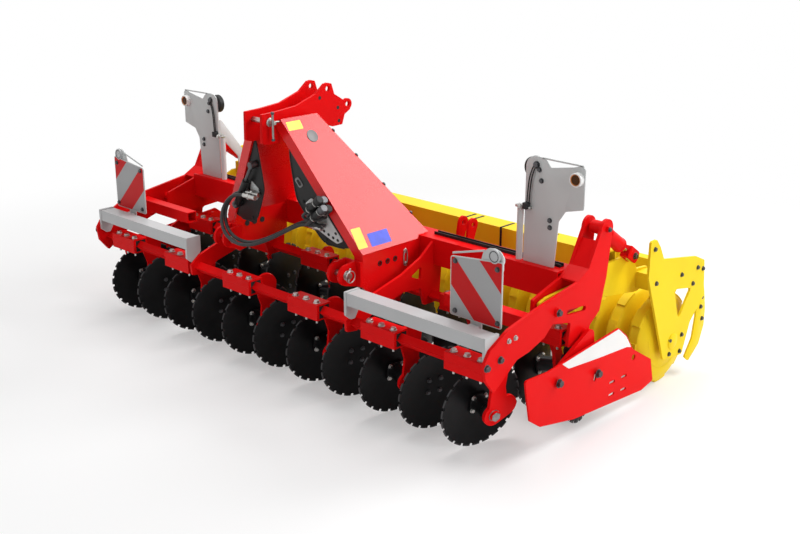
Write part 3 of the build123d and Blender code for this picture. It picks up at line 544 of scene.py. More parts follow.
def plate(outline: Iterable[Flat], thickness: float, corner: float = 0.0, bevel: float = 0.0) -> Stock:
    """Flat plate cut to an outline.

    Args:
        outline: its corners in X and Y, in millimetres.
        thickness: how far it rises along Z.
        corner: radius of its corners.
        bevel: width of its softened edges.

    Returns:
        The plate.
    """
    stock = bmesh.new()
    stock.faces.new([stock.verts.new((u * MM, v * MM, 0)) for u, v in outline])
    if corner:
        soften(stock, stock.verts[:], corner, 4, "VERTICES")
    rim = bmesh.ops.extrude_face_region(stock, geom=stock.faces[:])["geom"]
    top = [piece for piece in rim if isinstance(piece, bmesh.types.BMVert)]
    bmesh.ops.translate(stock, vec=(0, 0, thickness * MM), verts=top)
    bmesh.ops.recalc_face_normals(stock, faces=stock.faces[:])
    if bevel:
        sharp = [edge for edge in stock.edges if edge.calc_face_angle(0.0) > 1.2]
        soften(stock, sharp, bevel)
    return stock


def spun(profile: Sequence[Flat], steps: int, closed: bool = False) -> Stock:
    """Skin turned round Z.

    Args:
        profile: radius and height of each corner, in millimetres.
        steps: how many facets go round.
        closed: True for a ring, whose profile runs back to its start.

    Returns:
        The skin, whose faces may look either way.
    """
    stock = bmesh.new()
    line = [stock.verts.new((radius * MM, 0, height * MM)) for radius, height in profile]
    for first, second in zip(line, line[1:]):
        stock.edges.new((first, second))
    if closed:
        stock.edges.new((line[-1], line[0]))
    bmesh.ops.spin(stock, geom=stock.verts[:] + stock.edges[:], cent=(0, 0, 0), axis=(0, 0, 1),
                   angle=2 * math.pi, steps=steps, use_merge=True)
    bmesh.ops.remove_doubles(stock, verts=stock.verts[:], dist=1e-6)
    return stock


def turned(profile: Sequence[Flat], steps: int = 32, closed: bool = False) -> Stock:
    """Solid turned round Z, from a profile that starts and ends on the axis unless it is closed.

    Args:
        profile: radius and height of each corner, in millimetres.
        steps: how many facets go round.
        closed: True for a ring, whose profile runs back to its start.

    Returns:
        The solid.
    """
    stock = spun(profile, steps, closed)
    bmesh.ops.recalc_face_normals(stock, faces=stock.faces[:])
    return stock


def rod(radius: float, length: float, bevel: float = 1.0, steps: int = 24) -> Stock:
    """Round bar along Z with softened ends, in millimetres."""
    small, high = radius - bevel, length - bevel
    return turned([(0, 0), (small, 0), (radius, bevel), (radius, high), (small, length), (0, length)], steps)


def bent(name: str, points: Sequence[Vector], radius: float, fineness: Tuple[int, int],
         loop: bool = False) -> bpy.types.Curve:
    """Round bar bent along control points.

    Args:
        name: the curve's name.
        points: its control points, in metres.
        radius: its radius, in millimetres.
        fineness: facets round it, and steps from one point to the next.
        loop: True for a closed ring.

    Returns:
        The curve.
    """
    curve = bpy.data.curves.new(name, "CURVE")
    curve.dimensions = "3D"
    curve.bevel_depth = radius * MM
    curve.bevel_resolution = fineness[0]
    curve.use_fill_caps = True
    spline = curve.splines.new("NURBS")
    spline.points.add(len(points) - 1)
    for point, place in zip(spline.points, points):
        point.co = (*place, 1.0)
    spline.order_u = 3
    spline.use_endpoint_u = not loop
    spline.use_cyclic_u = loop
    spline.resolution_u = fineness[1]
    return curve


def wire(points: Sequence[Vector], radius: float, loop: bool = False) -> Stock:
    """Bent wire through control points in metres, with a radius in millimetres.

    Args:
        points: the wire's control points.
        radius: the wire's radius.
        loop: True for a closed ring.

    Returns:
        The wire.
    """
    curve = bent("wire", points, radius, (2, 5), loop)
    holder = bpy.data.objects.new("wire", curve)
    mesh = bpy.data.meshes.new_from_object(holder)
    stock = bmesh.new()
    stock.from_mesh(mesh)
    bmesh.ops.remove_doubles(stock, verts=stock.verts[:], dist=1e-6)
    bpy.data.objects.remove(holder)
    bpy.data.curves.remove(curve)
    bpy.data.meshes.remove(mesh)
    return stock


class Shape:
    """A piece under construction: stock shapes are set in place one by one, each in its own finish."""

    def __init__(self) -> None:
        """Starts an empty piece."""
        self.mesh = bmesh.new()
        self.finishes: List[Finish] = []

    def add(self, stock: Stock, place: Matrix, finish: Finish) -> "Shape":
        """Sets a stock shape in place.

        Args:
            stock: the shape, used up by this call.
            place: where it goes.
            finish: what it is finished in.

        Returns:
            The piece itself.
        """
        if finish not in self.finishes:
            self.finishes.append(finish)
        for face in stock.faces:
            face.material_index = self.finishes.index(finish)
        return self.take(stock, place)

    def take(self, stock: Stock, place: Matrix) -> "Shape":
        """Takes in a mesh at a place, with its faces kept outwards.

        Args:
            stock: the mesh, used up by this call.
            place: where it goes.

        Returns:
            The piece itself.
        """
        bmesh.ops.transform(stock, matrix=place, verts=stock.verts[:])
        if place.determinant() < 0:
            bmesh.ops.reverse_faces(stock, faces=stock.faces[:])
        carrier = bpy.data.meshes.new("stock")
        stock.to_mesh(carrier)
        stock.free()
        self.mesh.from_mesh(carrier)
        bpy.data.meshes.remove(carrier)
        return self

    def join(self, other: "Shape", place: Matrix) -> "Shape":
        """Takes in another piece, which is used up, with its own finishes.

        Args:
            other: the other piece.
            place: where it goes.

        Returns:
            The piece itself.
        """
        first = len(self.finishes)
        self.finishes += other.finishes
        for face in other.mesh.faces:
            face.material_index += first
        return self.take(other.mesh, place)

    def bolt(self, size: Bolt, place: Matrix, finish: Finish) -> "Shape":
        """Sets a hexagon head with its washer on the place's XY plane.

        Args:
            size: the fastener's size.
            place: where it sits; its Z points out of the head.
            finish: what it is finished in.

        Returns:
            The piece itself.
        """
        flats, height, washer = size.value
        head = bmesh.new()
        corner = flats / math.sqrt(3) * MM
        bmesh.ops.create_cone(head, cap_ends=True, segments=6, radius1=corner, radius2=corner * 0.96,
                              depth=height * MM)
        bmesh.ops.translate(head, vec=(0, 0, (height / 2 + 2.4) * MM), verts=head.verts)
        top = [edge for edge in head.edges if all(v.co.z > height * MM for v in edge.verts)]
        soften(head, top, 1.4, 1)
        self.add(head, place, finish)
        ring = turned([(0, -1), (washer, -1), (washer, 2), (washer - 0.8, 2.6), (0, 2.6)], 16)
        return self.add(ring, place, finish)

    def settle(self, name: str, body: str, stands_for: Sequence[str] = ()) -> bpy.types.Object:
        """Turns the piece into an object that rides on a body.

        Args:
            name: the object's name.
            body: the body that it rides on.
            stands_for: the CAD nodes that it replaces.

        Returns:
            The object.
        """
        mesh = bpy.data.meshes.new(name)
        self.mesh.to_mesh(mesh)
        self.mesh.free()
        for finish in self.finishes:
            mesh.materials.append(finish.material())
        mesh.shade_smooth()
        mesh.set_sharp_from_angle(angle=CRISP)
        piece = bpy.data.objects.new(name, mesh)
        bpy.context.scene.collection.objects.link(piece)
        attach(piece, body)
        if stands_for:
            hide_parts(*stands_for)
        LOG.info("%s rides on %s: %d faces", name, body, len(mesh.polygons))
        return piece


# Sub-assemblies


@dataclass
class HosePair:
    """Two hydraulic hoses that hang in a loop in front of the headstock."""

    radius: float = 9.0
    length: float = 0.967
    step: Flat = (-23.0, -10.0)
    route: Sequence[Point] = (
        (-215, -42.63, 885), (-280, -42.63, 885), (-345, -52, 858), (-380, -72, 800), (-375, -90, 735),
        (-330, -104, 682), (-262, -112, 658), (-185, -115, 655), (-105, -113, 672), (-25, -104, 705),
        (50, -84, 745), (120, -50, 790), (180, -22.72, 820), (245, -22.72, 820))

    def points(self, index: int) -> List[Vector]:
        """Route of one hose; the second hangs in front of and below the first."""
        return [at(x, y + index * self.step[0], z + index * self.step[1]) for x, y, z in self.route]

    def hose(self, index: int, name: str) -> bpy.types.Object:
        """One hose on its route.

        Args:
            index: 0 for the upper hose, 1 for the lower.
            name: its CAD node.

        Returns:
            The hose.
        """
        places = self.points(index)
        curve = bent(name + "_line", places, self.radius, (6, 10))
        curve.materials.append(HOSE.material())
        piece = bpy.data.objects.new(name + "_rubber", curve)
        bpy.context.scene.collection.objects.link(piece)
        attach(piece, "frame")
        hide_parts(name)
        LOG.info("%s rides on frame", piece.name)
        return piece

    def ferrules(self) -> None:
        """Crimped sleeves and swivel nuts at both ends of both hoses."""
        shape = Shape()
        sleeve = [(0, 0), (11, 0), (12.6, 1.5), (12.6, 9), (11.6, 10), (12.6, 11), (12.6, 19), (11.6, 20),
                  (12.6, 21), (12.6, 30), (10.5, 32), (0, 32)]
        inward = Vector((-1, 0, 0))
        for index in range(2):
            points = self.points(index)
            for end in (points[0], points[-1]):
                shape.add(turned(sleeve, 20), facing(end - inward * 0.001, inward), ZINC)
                nut = turned([(0, 0), (16.5, 0), (17.5, 1), (17.5, 13), (16.5, 14), (0, 14)], 6)
                shape.add(nut, facing(end - inward * 0.004, -inward), ZINC)
        shape.settle("hose_ferrules", "frame")

    def build(self) -> None:
        """Both hoses and their ends."""
        for index, name in enumerate(("hose_upper", "hose_lower")):
            self.hose(index, name)
        self.ferrules()


@dataclass
class DiscRows:
    """The notched discs of both rows with their hubs and the nuts of their axles."""

    radius: float = 205.0
    thickness: float = 5.0
    depth: float = 28.0
    flat_radius: float = 60.0
    notches: int = 24
    notch_depth: float = 12.0
    notch_facets: int = 8
    notch_band: float = 7.0
    notch_drop: float = 0.075
    inner_draw: float = 0.75
    flank_turn: float = 0.62
    root_turn: float = 0.15
    middle_radius: float = 46.0
    bolt_share: float = 0.72
    pitch: float = 250.0
    row_distance: float = 520.0
    gang: float = math.radians(13.6)
    tilt: float = math.radians(8.2)
    arm_offset: float = 90.0
    arm_half: float = 8.0
    hub_radius: float = 37.0
    flange_half: float = 43.0
    flange_thickness: float = 12.0
    running_gap: float = 5.0

    def axis(self) -> Vector:
        """Spin axis of a front disc on its hollow side."""
        return Vector((math.cos(self.gang) * math.cos(self.tilt), -math.sin(self.gang) * math.cos(self.tilt),
                       -math.sin(self.tilt)))

    def frame_of(self, x: float, row: int) -> Matrix:
        """Frame of a disc's rim: its Z on the hollow side.

        Args:
            x: the disc's place across the machine.
            row: 0 for the front row, 1 for the rear, whose discs look the other way.

        Returns:
            The frame.
        """
        side = -1 if row else 1
        along = Vector((math.sin(self.gang), math.cos(self.gang), 0))
        z = self.axis()
        turn = Matrix((along, z.cross(along), z)).transposed().to_4x4()
        height = self.radius * math.cos(self.tilt)
        return Matrix.Translation(at(x, row * self.row_distance, height)) @ across(side) @ turn

    def blade(self) -> Stock:
        """Dished blade with its notched rim, hollow towards +Z, rim edge on Z = 0.

        Returns:
            The blade.
        """
        inner, outer = self.flat_radius, self.radius
        span = outer - inner
        centre = (outer ** 2 - inner ** 2 - self.depth ** 2) / (2 * self.depth)
        ball = math.hypot(outer, centre)
        reaches = [inner + span * share for share in (0.0, 0.2, 0.4, 0.6, 0.8, 0.9, 0.965, 1.0)]
        bend = [(r, centre - math.sqrt(ball ** 2 - r ** 2)) for r in reaches]
        line = [(0, -self.depth), (self.middle_radius, -self.depth)] + bend
        stock = spun(line, self.notches * self.notch_facets)
        self.cut_notches(stock)
        bmesh.ops.recalc_face_normals(stock, faces=stock.faces[:])
        if sum(face.normal.z for face in stock.faces) < 0:
            bmesh.ops.reverse_faces(stock, faces=stock.faces[:])
        bmesh.ops.solidify(stock, geom=stock.faces[:], thickness=self.thickness * MM)
        bmesh.ops.recalc_face_normals(stock, faces=stock.faces[:])
        return stock

    def cut_notches(self, stock: Stock) -> None:
        """Draws the rim inwards at every notch and steepens the notch's flanks.

        Args:
            stock: the blade's skin, still without thickness.
        """
        period = 2 * math.pi / self.notches
        step = period / self.notch_facets
        for vert in stock.verts:
            reach = vert.co.to_2d().length / MM
            if reach < self.radius - self.notch_band:
                continue
            angle = math.atan2(vert.co.y, vert.co.x)
            inside = angle % period - period / 2
            slot = round(inside / step)
            rim = reach > self.radius - 1
            if rim and abs(slot) == 2:
                turn = Matrix.Rotation(-math.copysign(self.flank_turn * step, inside), 3, "Z")
                vert.co = turn @ vert.co
            elif abs(slot) <= 1:
                drawn = self.notch_depth if rim else self.notch_depth * self.inner_draw
                vert.co *= (reach - drawn) / reach
                vert.co.z -= self.notch_drop * drawn * MM
                if abs(slot) == 1:
                    turn = Matrix.Rotation(math.copysign(self.root_turn * step, inside), 3, "Z")
                    vert.co = turn @ vert.co

    def arm_side(self, on_back: bool) -> Tuple[float, Matrix]:
        """Where the arm of a disc stands.

        Args:
            on_back: True where it stands on the rounded side.

        Returns:
            The arm's distance along the disc's axis, in millimetres, and the turn that points Z at it.
        """
        reach = self.pitch - self.arm_offset if on_back else self.arm_offset
        turn = Matrix.Rotation(math.pi, 4, "X") if on_back else IN_PLACE
        return reach * self.axis().x, turn

    def disc(self, on_back: bool) -> Tuple[Stock, Shape]:
        """Blade and hub of one disc in the frame of its rim.

        Args:
            on_back: True where the hub stands on the rounded side.

        Returns:
            The blade, and a shape with the hub, flange and bolts.
        """
        reach, turn = self.arm_side(on_back)
        seat = self.depth + self.thickness if on_back else -self.depth
        end = reach - self.arm_half - self.running_gap
        hub = Shape()
        r = self.hub_radius
        profile = [(0, seat), (r + 5, seat), (r + 5, seat + self.flange_thickness), (r, seat + 20),
                   (r, end - 30), (r + 4, end - 26), (r + 4, end - 8), (r + 1, end - 5), (r - 2, end), (24, end),
                   (24, end - 4), (0, end - 4)]
        hub.add(turned(profile, 40), turn, HUB)
        half = self.flange_half
        square = [(-half, -half), (half, -half), (half, half), (-half, half)]
        hub.add(plate(square, self.flange_thickness, 13, 1.5), turn @ shifted(0, 0, seat), HUB)
        for u, v in square:
            spot = turn @ shifted(u * self.bolt_share, v * self.bolt_share, 0)
            hub.bolt(Bolt.SMALL, spot @ shifted(0, 0, seat + self.flange_thickness), ZINC)
            back = spot @ shifted(0, 0, seat - self.thickness)
            hub.bolt(Bolt.SMALL, back @ Matrix.Rotation(math.pi, 4, "X"), DARK)
        return self.blade(), hub

    def place_disc(self, name: str, x: float, row: int, on_back: bool, axles: Shape) -> None:
        """Builds one disc, and the nut of its axle on the arm.

        Args:
            name: the disc's node and body.
            x: its place across the machine.
            row: 0 front, 1 rear.
            on_back: True where the hub stands on the rounded side.
            axles: the piece that gathers the nuts.
        """
        frame_here = self.frame_of(x, row)
        blade, hub = self.disc(on_back)
        flat = blade.loops.layers.uv.new("blade")
        for face in blade.faces:
            for loop in face.loops:
                loop[flat].uv = loop.vert.co.xy
        shape = Shape()
        shape.add(blade, frame_here, BLADE)
        shape.join(hub, frame_here)
        shape.settle(name + "_blade", name, [name])
        reach, turn = self.arm_side(on_back)
        axles.bolt(Bolt.AXLE, frame_here @ turn @ shifted(0, 0, reach + self.arm_half), STEEL)

    def build(self) -> None:
        """All discs of both rows and the nuts of their axles."""
        axles = Shape()
        for row, (count, name) in enumerate(((11, "disc_front_%02d"), (12, "disc_rear_%02d"))):
            for index in range(count):
                x = (index - (count - 1) / 2) * self.pitch
                on_back = index % 2 == (0 if row else 1)
                self.place_disc(name % (index + 1), x, row, on_back, axles)
        axles.settle("axle_nuts", "frame")


@dataclass
class ClampBolts:
    """Three through bolts on each box clamp of the disc arms, with their nuts below."""

    front_arms: Sequence[float] = (-1160, -660, -160, 340, 840, 1340)
    rear_arms: Sequence[float] = (-1215, -715, -215, 285, 785, 1285)
    front_shift: float = -60.0
    bar_front_y: float = -115.0
    bar_rear_y: float = 405.0
    top: float = 477.0
    bottom: float = 399.0
    step: float = 74.0
    ahead: float = 18.0

    def build(self) -> None:
        """Bolt heads on the caps, nuts and thread ends under the lower halves."""
        shape = Shape()
        up, down = Vector((0, 0, 1)), Vector((0, 0, -1))
        rows = [(x + self.front_shift, self.bar_front_y) for x in self.front_arms]
        rows += [(x, self.bar_rear_y) for x in self.rear_arms]
        for middle, y in rows:
            for step in (-1, 0, 1):
                spot = (middle + step * self.step, y - self.ahead)
                shape.bolt(Bolt.CLAMP, facing(at(*spot, self.top), up, Vector((1, 0.4 * step, 0))), ZINC)
                shape.bolt(Bolt.SMALL, facing(at(*spot, self.bottom), down, Vector((1, 0.2, 0))), DARK)
                shape.add(rod(6, 16), facing(at(*spot, self.bottom - 7), down), ZINC)
        shape.settle("clamp_bolts", "frame")


@dataclass
class RingRoller:
    """Drum with wedge rings that carry rectangular cleats."""

    y: float = 1150.0
    radius: float = 230.0
    drum: float = 150.0
    count: int = 24
    pitch: float = 122.0
    rim_width: float = 50.0
    base_width: float = 90.0
    cleats: int = 8
    cleat_length: float = 96.0
    cleat_height: float = 9.0
    cleat_lead: float = 0.37
    shaft: float = 28.0
    shaft_end: float = 1488.0

    def ring(self) -> Stock:
        """One wedge ring round Z, with a rolled lip along each side of its rim.

        Returns:
            The ring.
        """
        rim = self.radius - self.cleat_height
        half, base = self.rim_width / 2, self.base_width / 2
        flank = [(self.drum - 6, base), (self.drum + 6, base), (rim - 14, half + 6), (rim - 3, half),
                 (rim, half - 3)]
        mirrored = [(r, -z) for r, z in flank]
        return turned(mirrored + flank[::-1], 56, closed=True)

    def cleat(self) -> Stock:
        """Raised block bent round the ring's rim, along X, its back on the rim.

        Returns:
            The block.
        """
        stock = bmesh.new()
        rim = self.radius - self.cleat_height
        half = self.rim_width / 2 - 2
        angle = self.cleat_length / self.radius
        corners = [(rim - 2, -half), (self.radius - 1.5, -half), (self.radius, -half + 1.5),
                   (self.radius, half - 1.5), (self.radius - 1.5, half), (rim - 2, half)]
        face = stock.faces.new([stock.verts.new((r * MM, 0, z * MM)) for r, z in corners])
        bmesh.ops.spin(stock, geom=[face], cent=(0, 0, 0), axis=(0, 0, 1), angle=angle, steps=4)
        bmesh.ops.recalc_face_normals(stock, faces=stock.faces[:])
        return stock

    def build(self) -> None:
        """The whole roller."""
        shape = Shape()
        lie = Matrix.Rotation(math.pi / 2, 4, "Y")
        middle = Matrix.Translation(at(0, self.y, self.radius))
        first = -(self.count - 1) / 2 * self.pitch
        for index in range(self.count):
            place = middle @ shifted(first + index * self.pitch, 0, 0) @ lie
            shape.add(self.ring(), place, YELLOW)
            start = index * self.cleat_lead
            for step in range(self.cleats):
                turn = Matrix.Rotation(start + step * 2 * math.pi / self.cleats, 4, "Z")
                shape.add(self.cleat(), place @ turn, YELLOW)
        end = -first + self.base_width / 2
        drum = turned([(0, -end), (self.drum - 8, -end), (self.drum, -end + 4), (self.drum, end - 4),
                       (self.drum - 8, end), (0, end)], 56)
        shape.add(drum, middle @ lie, YELLOW)
        r, tip = self.shaft, self.shaft_end
        shaft = turned([(0, -tip), (r - 2, -tip), (r, 3 - tip), (r, tip - 3), (r - 2, tip), (0, tip)], 28)
        shape.add(shaft, middle @ lie, ZINC)
        shape.settle("roller_rings", "roller", ["roller"])


@dataclass
class Headstock:
    """Stickers, plugs, pins and hose fittings on the three-point headstock."""

    fold: Point = (500.0, 0.0, 709.0)
    rise: Point = (-390.0, 0.0, 597.0)
    plug: Flat = (30.0, 606.0)
    plug_radius: float = 31.0
    labels: Sequence[Tuple[Flat, Flat, bool]] = (((-90, 650), (-3, 694), True), ((17, 26), (76, 128), True),
                                                ((101, 21), (232, 87), False))
    low_pin: Flat = (-45.0, 617.0)
    low_pin_tip: float = 490.0
    low_ear_outer: float = 470.5
    low_ear_inner: float = 375.0
    top_pin: Flat = (-140.0, 1290.0)
    top_ear: float = 67.0
    handle_x: float = 101.0
    plate_holes: Sequence[Flat] = ((173, 1364), (290, 1303), (296, 1238))
    panel_x: float = 500.0
    panel_holes: Sequence[Flat] = ((140, 640), (191, 640), (242, 640))
    panel_rear: Flat = (493.0, 113.0)
    rear_lean: float = 0.636
    clip: Sequence[Flat] = ((300, 598), (322, 598), (324, 640), (320, 664), (304, 664), (298, 640))
    clip_bolts: Sequence[Flat] = ((311, 664), (311, 600))
    flange_low_y: float = 26.0
    flange_top_y: float = -111.0
    leg_thickness: float = 12.0
    cover: Sequence[Flat] = (
        (41, 30), (620, 30), (600, 70), (480, 148), (400, 198), (371, 205), (193, 208), (125, 190), (70, 100))
    cover_knobs: Sequence[Flat] = ((62, 44), (240, 44), (430, 44), (590, 44), (360, 176), (150, 176))
    hook: Sequence[Flat] = ((420, 112), (470, 112), (470, 146), (420, 146))
    hook_slot_shade: Sequence[Flat] = ((428, 120), (460, 120), (460, 138), (428, 138))
    holder: Sequence[Flat] = (
        (352, 109), (348, 164), (258, 184), (218, 189), (145, 149), (105, 121), (100, 78), (232, 78), (301, 88))
    holder_holes: Sequence[Flat] = (
        (118, 104), (140, 122), (164, 138), (190, 152), (150, 92), (300, 104), (322, 128), (290, 150))
    left_holder: Sequence[Flat] = ((280, 115), (360, 105), (362, 178), (285, 175))

    def panel(self, side: int) -> Matrix:
        """Frame on a leg's sloped panel: X along Y, Y up the slope, Z outwards.

        Args:
            side: 1 for the right leg, -1 for the left.

        Returns:
            The frame.
        """
        up = Vector(self.rise).normalized()
        along = Vector((0, 1, 0))
        turn = Matrix((along, up, along.cross(up))).transposed().to_4x4()
        return across(side) @ Matrix.Translation(at(*self.fold)) @ turn

    def stickers(self) -> None:
        """Blank labels and round plugs on the sloped panels."""
        shape = Shape()
        for side in SIDES:
            for low, high, yellow in self.labels:
                outline = [low, (high[0], low[1]), high, (low[0], high[1])]
                finish = LABEL_YELLOW if yellow else LABEL_BLUE
                shape.add(plate(outline, 0.7, 3.0), self.panel(side) @ shifted(0, 0, -0.1), finish)
            spot = self.panel(side) @ shifted(*self.plug, 0)
            r = self.plug_radius
            cap = turned([(0, -1), (r, -1), (r, 2), (r - 1.5, 3.4), (r - 6, 3.4), (r - 8, 2.4), (0, 2.8)], 40)
            shape.add(cap, spot, PLUG_GREY)
        shape.settle("headstock_labels", "frame")

    def pins(self) -> None:
        """Linch pins, collars and the top link pin's handle."""
        shape = Shape()
        y, z = self.low_pin
        for side in SIDES:
            end = at(side * self.low_pin_tip, y, z)
            washer = turned([(0, -3), (24, -3), (24, 1), (22, 2), (0, 2)], 24)
            shape.add(washer, outwards(side, self.low_ear_outer, y, z), ZINC)
            shape.add(rod(4.5, 66), facing(end + Vector((-side * 0.009, 0, -0.03)), Vector((0, 0.15, 1))), ZINC)
            ring = [end + Vector((side * 0.004, 0.03 * math.cos(t), 0.03 * math.sin(t) - 0.002))
                    for t in (k * math.pi / 4 for k in range(8))]
            shape.add(wire(ring, 2.2, True), IN_PLACE, ZINC)
            collar = turned([(0, 0), (22, 0), (22, 8), (20, 10), (0, 10)], 24)
            shape.add(collar, facing(at(side * self.low_ear_inner, y, z), Vector((-side, 0, 0))), ZINC)
        y, z = self.top_pin
        for side in SIDES:
            collar = turned([(0, 0), (21, 0), (21, 4), (19, 5), (0, 5)], 24)
            shape.add(collar, outwards(side, self.top_ear, y, z), ZINC)
            # Near-black discs on the top ears stand for their holes: painted shade.
            for hole_y, hole_z in self.plate_holes:
                hole_shade = turned([(0, 0), (9, 0), (9, 0.7), (0, 0.7)], 24)
                shape.add(hole_shade, outwards(side, self.top_ear - 0.2, hole_y, hole_z), HOLE_SHADE)
        x, up = self.handle_x, Vector((0, 0, 1))
        shape.add(rod(5.5, 128, 2), facing(at(x, y - 10, z - 78), up), STEEL)
        for lift in (-78, 46):
            shape.add(rod(9, 12, 3), facing(at(x, y - 10, z + lift - 4), up), DARK)
        shape.add(rod(9, 20, 2), outwards(1, x - 15, y, z), ZINC)
        bar = [at(x, y, z + 4), at(x + 1, y + 12, z + 6), at(x + 2, y + 50, z + 3), at(x + 3, y + 82, z)]
        shape.add(wire(bar, 4.5), IN_PLACE, STEEL)
        shape.settle("hitch_linch_pins", "frame")

    def side_clips(self) -> None:
        """Wire clips and grommets beside the holes of the side panels, with discs of painted shade behind the
        holes.
        """
        shape = Shape()
        for side in SIDES:
            loop = [at(side * (self.panel_x + 4), y, z) for y, z in self.clip]
            shape.add(wire(loop, 2.6, True), IN_PLACE, ZINC)
            for y, z in self.clip_bolts:
                shape.bolt(Bolt.SMALL, outwards(side, self.panel_x, y, z), ZINC)
            for y, z in self.panel_holes:
                # Near-black disc behind each hole: painted shade seen through it.
                back = facing(at(side * (self.panel_x - 12.5), y, z), Vector((-side, 0, 0)))
                shape.add(turned([(0, 0), (15, 0), (15, 2), (0, 2)], 24), back, HOLE_SHADE)
                grommet = turned([(9.4, -1), (14, -1), (14, 1.2), (12, 2), (9.4, 1.4)], 28, closed=True)
                shape.add(grommet, outwards(side, self.panel_x, y, z), BLACK)
        shape.settle("headstock_clips", "frame")

    def couplers(self) -> None:
        """Bundle of quick couplers with their caps, piped to the hose ends of the right holder."""
        shape = Shape()
        along = Vector((0.78, -0.06, 0.62)).normalized()
        beside = Vector((-along.z, 0, along.x))
        base = at(252, -50, 858)
        body = [(0, 0), (9, 0), (9, 20), (15, 24), (15, 46), (19, 50), (19, 84), (15, 88), (15, 100), (0, 100)]
        cap = [(0, 98), (17, 98), (21, 102), (21, 128), (16, 133), (0, 133)]
        for index in range(4):
            row, layer = index % 2, index // 2
            foot = base + beside * (row - 0.5) * 0.046 + Vector((0, -0.04 * layer, 0)) + along * 0.018 * layer
            shape.add(turned(body, 24), facing(foot, along), BLACK)
            shape.add(turned(cap, 24), facing(foot, along), DARK if index % 3 else BLACK)
            for s in (0.028, 0.044, 0.09):
                ring = turned([(13, 0), (20, 0), (20, 4), (13, 4)], 28, closed=True)
                shape.add(ring, facing(foot + along * s, along), ZINC)
            hose = at(296, -22.7 + row * HosePair.step[0], 820 + row * HosePair.step[1])
            bend = [hose, hose + Vector((0.02, -0.004, 0.002))]
            bend += [foot + along * reach for reach in (-0.05, -0.02, 0.01)]
            shape.add(wire(bend, 8.0), IN_PLACE, HOSE)
        clip = [(-48, -40), (48, -40), (48, 40), (-48, 40)]
        place = facing(base + along * 0.06 + Vector((0, -0.02, 0)), along, Vector((0, -1, 0)))
        shape.add(plate(clip, 8, 10, 1.5), place, BLACK)
        shape.settle("hose_couplers", "frame")

    def flange(self, side: int) -> Matrix:
        """Frame on the back of a leg's front flange: X up the leg, Y inwards, Z forwards.

        Args:
            side: 1 for the right leg, -1 for the left.

        Returns:
            The frame.
        """
        low = Vector((self.fold[0], self.flange_low_y, self.fold[2]))
        high = Vector((self.fold[0] + self.rise[0], self.flange_top_y, self.fold[2] + self.rise[2]))
        up = (high - low).normalized()
        slope = Vector((0, 1, 0)).cross(Vector(self.rise).normalized())
        forward = up.cross(-slope).normalized()
        inwards = forward.cross(up)
        turn = Matrix((up, inwards, forward)).transposed().to_4x4()
        return across(side) @ Matrix.Translation(at(low.x, low.y + self.leg_thickness, low.z)) @ turn

    def covers(self) -> None:
        """Moulded covers inside the legs, with a rim along their free edge."""
        shape = Shape()
        for side in SIDES:
            here = self.flange(side)
            shape.add(plate(self.cover, 5, 8, 1), here @ shifted(0, 0, -5), BLACK)
            rim = [here @ Vector((u * MM, v * MM, -1 * MM)) for u, v in self.cover[1:]]
            shape.add(wire(rim, 4.0), IN_PLACE, BLACK)
            for u, v in self.cover_knobs:
                knob = turned([(0, -0.5), (9, -0.5), (9, 3), (6, 5), (0, 5)], 16)
                shape.add(knob, here @ shifted(u, v, 0), BLACK)
        right, left = self.flange(1), self.flange(-1)
        shape.add(plate(self.hook, 3, 10, 1), right @ shifted(0, 0, -0.5), PLUG_GREY)
        # Near-black plate in the hook's slot: painted shade.
        shape.add(plate(self.hook_slot_shade, 1, 6), right @ shifted(0, 0, 2), HOLE_SHADE)
        low, high = left @ Vector((0.157, 0.066, 0.03)), left @ Vector((0.487, 0.112, 0.03))
        run = high - low
        span = run.length / MM
        shape.add(rod(17, span * 0.62, 3), facing(low, run), BLACK)
        shape.add(rod(9, span, 2), facing(low, run), DARK)
        forward = left.to_3x3() @ Vector((0, 0, 1))
        for end in (low, high):
            shape.add(rod(19, 46, 4), facing(end - forward * 0.03, forward), DARK)
        shape.settle("leg_covers", "frame", ["inner_covers"])

    def holders(self) -> None:
        """Holder plates with near-black discs of painted shade for their holes, and the couplings that the hoses
        end in.
        """
        shape = Shape()
        right, left = self.flange(1), self.flange(-1)
        shape.add(plate(self.holder, 4, 8, 1), right, GREY)
        shape.add(plate(self.left_holder, 4, 8, 1), left, GREY)
        # Near-black discs on the right holder stand for its holes: painted shade.
        for u, v in self.holder_holes:
            hole_shade = turned([(0, 0), (8, 0), (8, 0.6), (0, 0.6)], 20)
            shape.add(hole_shade, right @ shifted(u, v, 3.8), HOLE_SHADE)
        for end in (0, -1):
            for index in range(2):
                spot = HosePair().points(index)[end]
                shape.add(rod(13, 60, 1.5), facing(spot, Vector((1, 0, 0))), ZINC)
        shape.settle("hose_holder_plates", "frame", ["hose_holders"])

    def edge_bolts(self) -> None:
        """Small heads along the rear edge of the sloped panels."""
        shape = Shape()
        length = Vector(self.rise).length
        foot, top = self.panel_rear
        out = facing(Vector((0, 0, 0)), Vector((1, self.rear_lean, 0)))
        for side in SIDES:
            for share in (0.18, 0.42, 0.66, 0.86):
                spot = shifted(foot + (top - foot) * share, share * length, -6)
                shape.bolt(Bolt.SMALL, self.panel(side) @ spot @ out, DARK)
        shape.settle("headstock_edge_bolts", "frame")

    def build(self) -> None:
        """All fittings of the headstock."""
        self.stickers()
        self.pins()
        self.side_clips()
        self.couplers()
        self.covers()
        self.holders()
        self.edge_bolts()


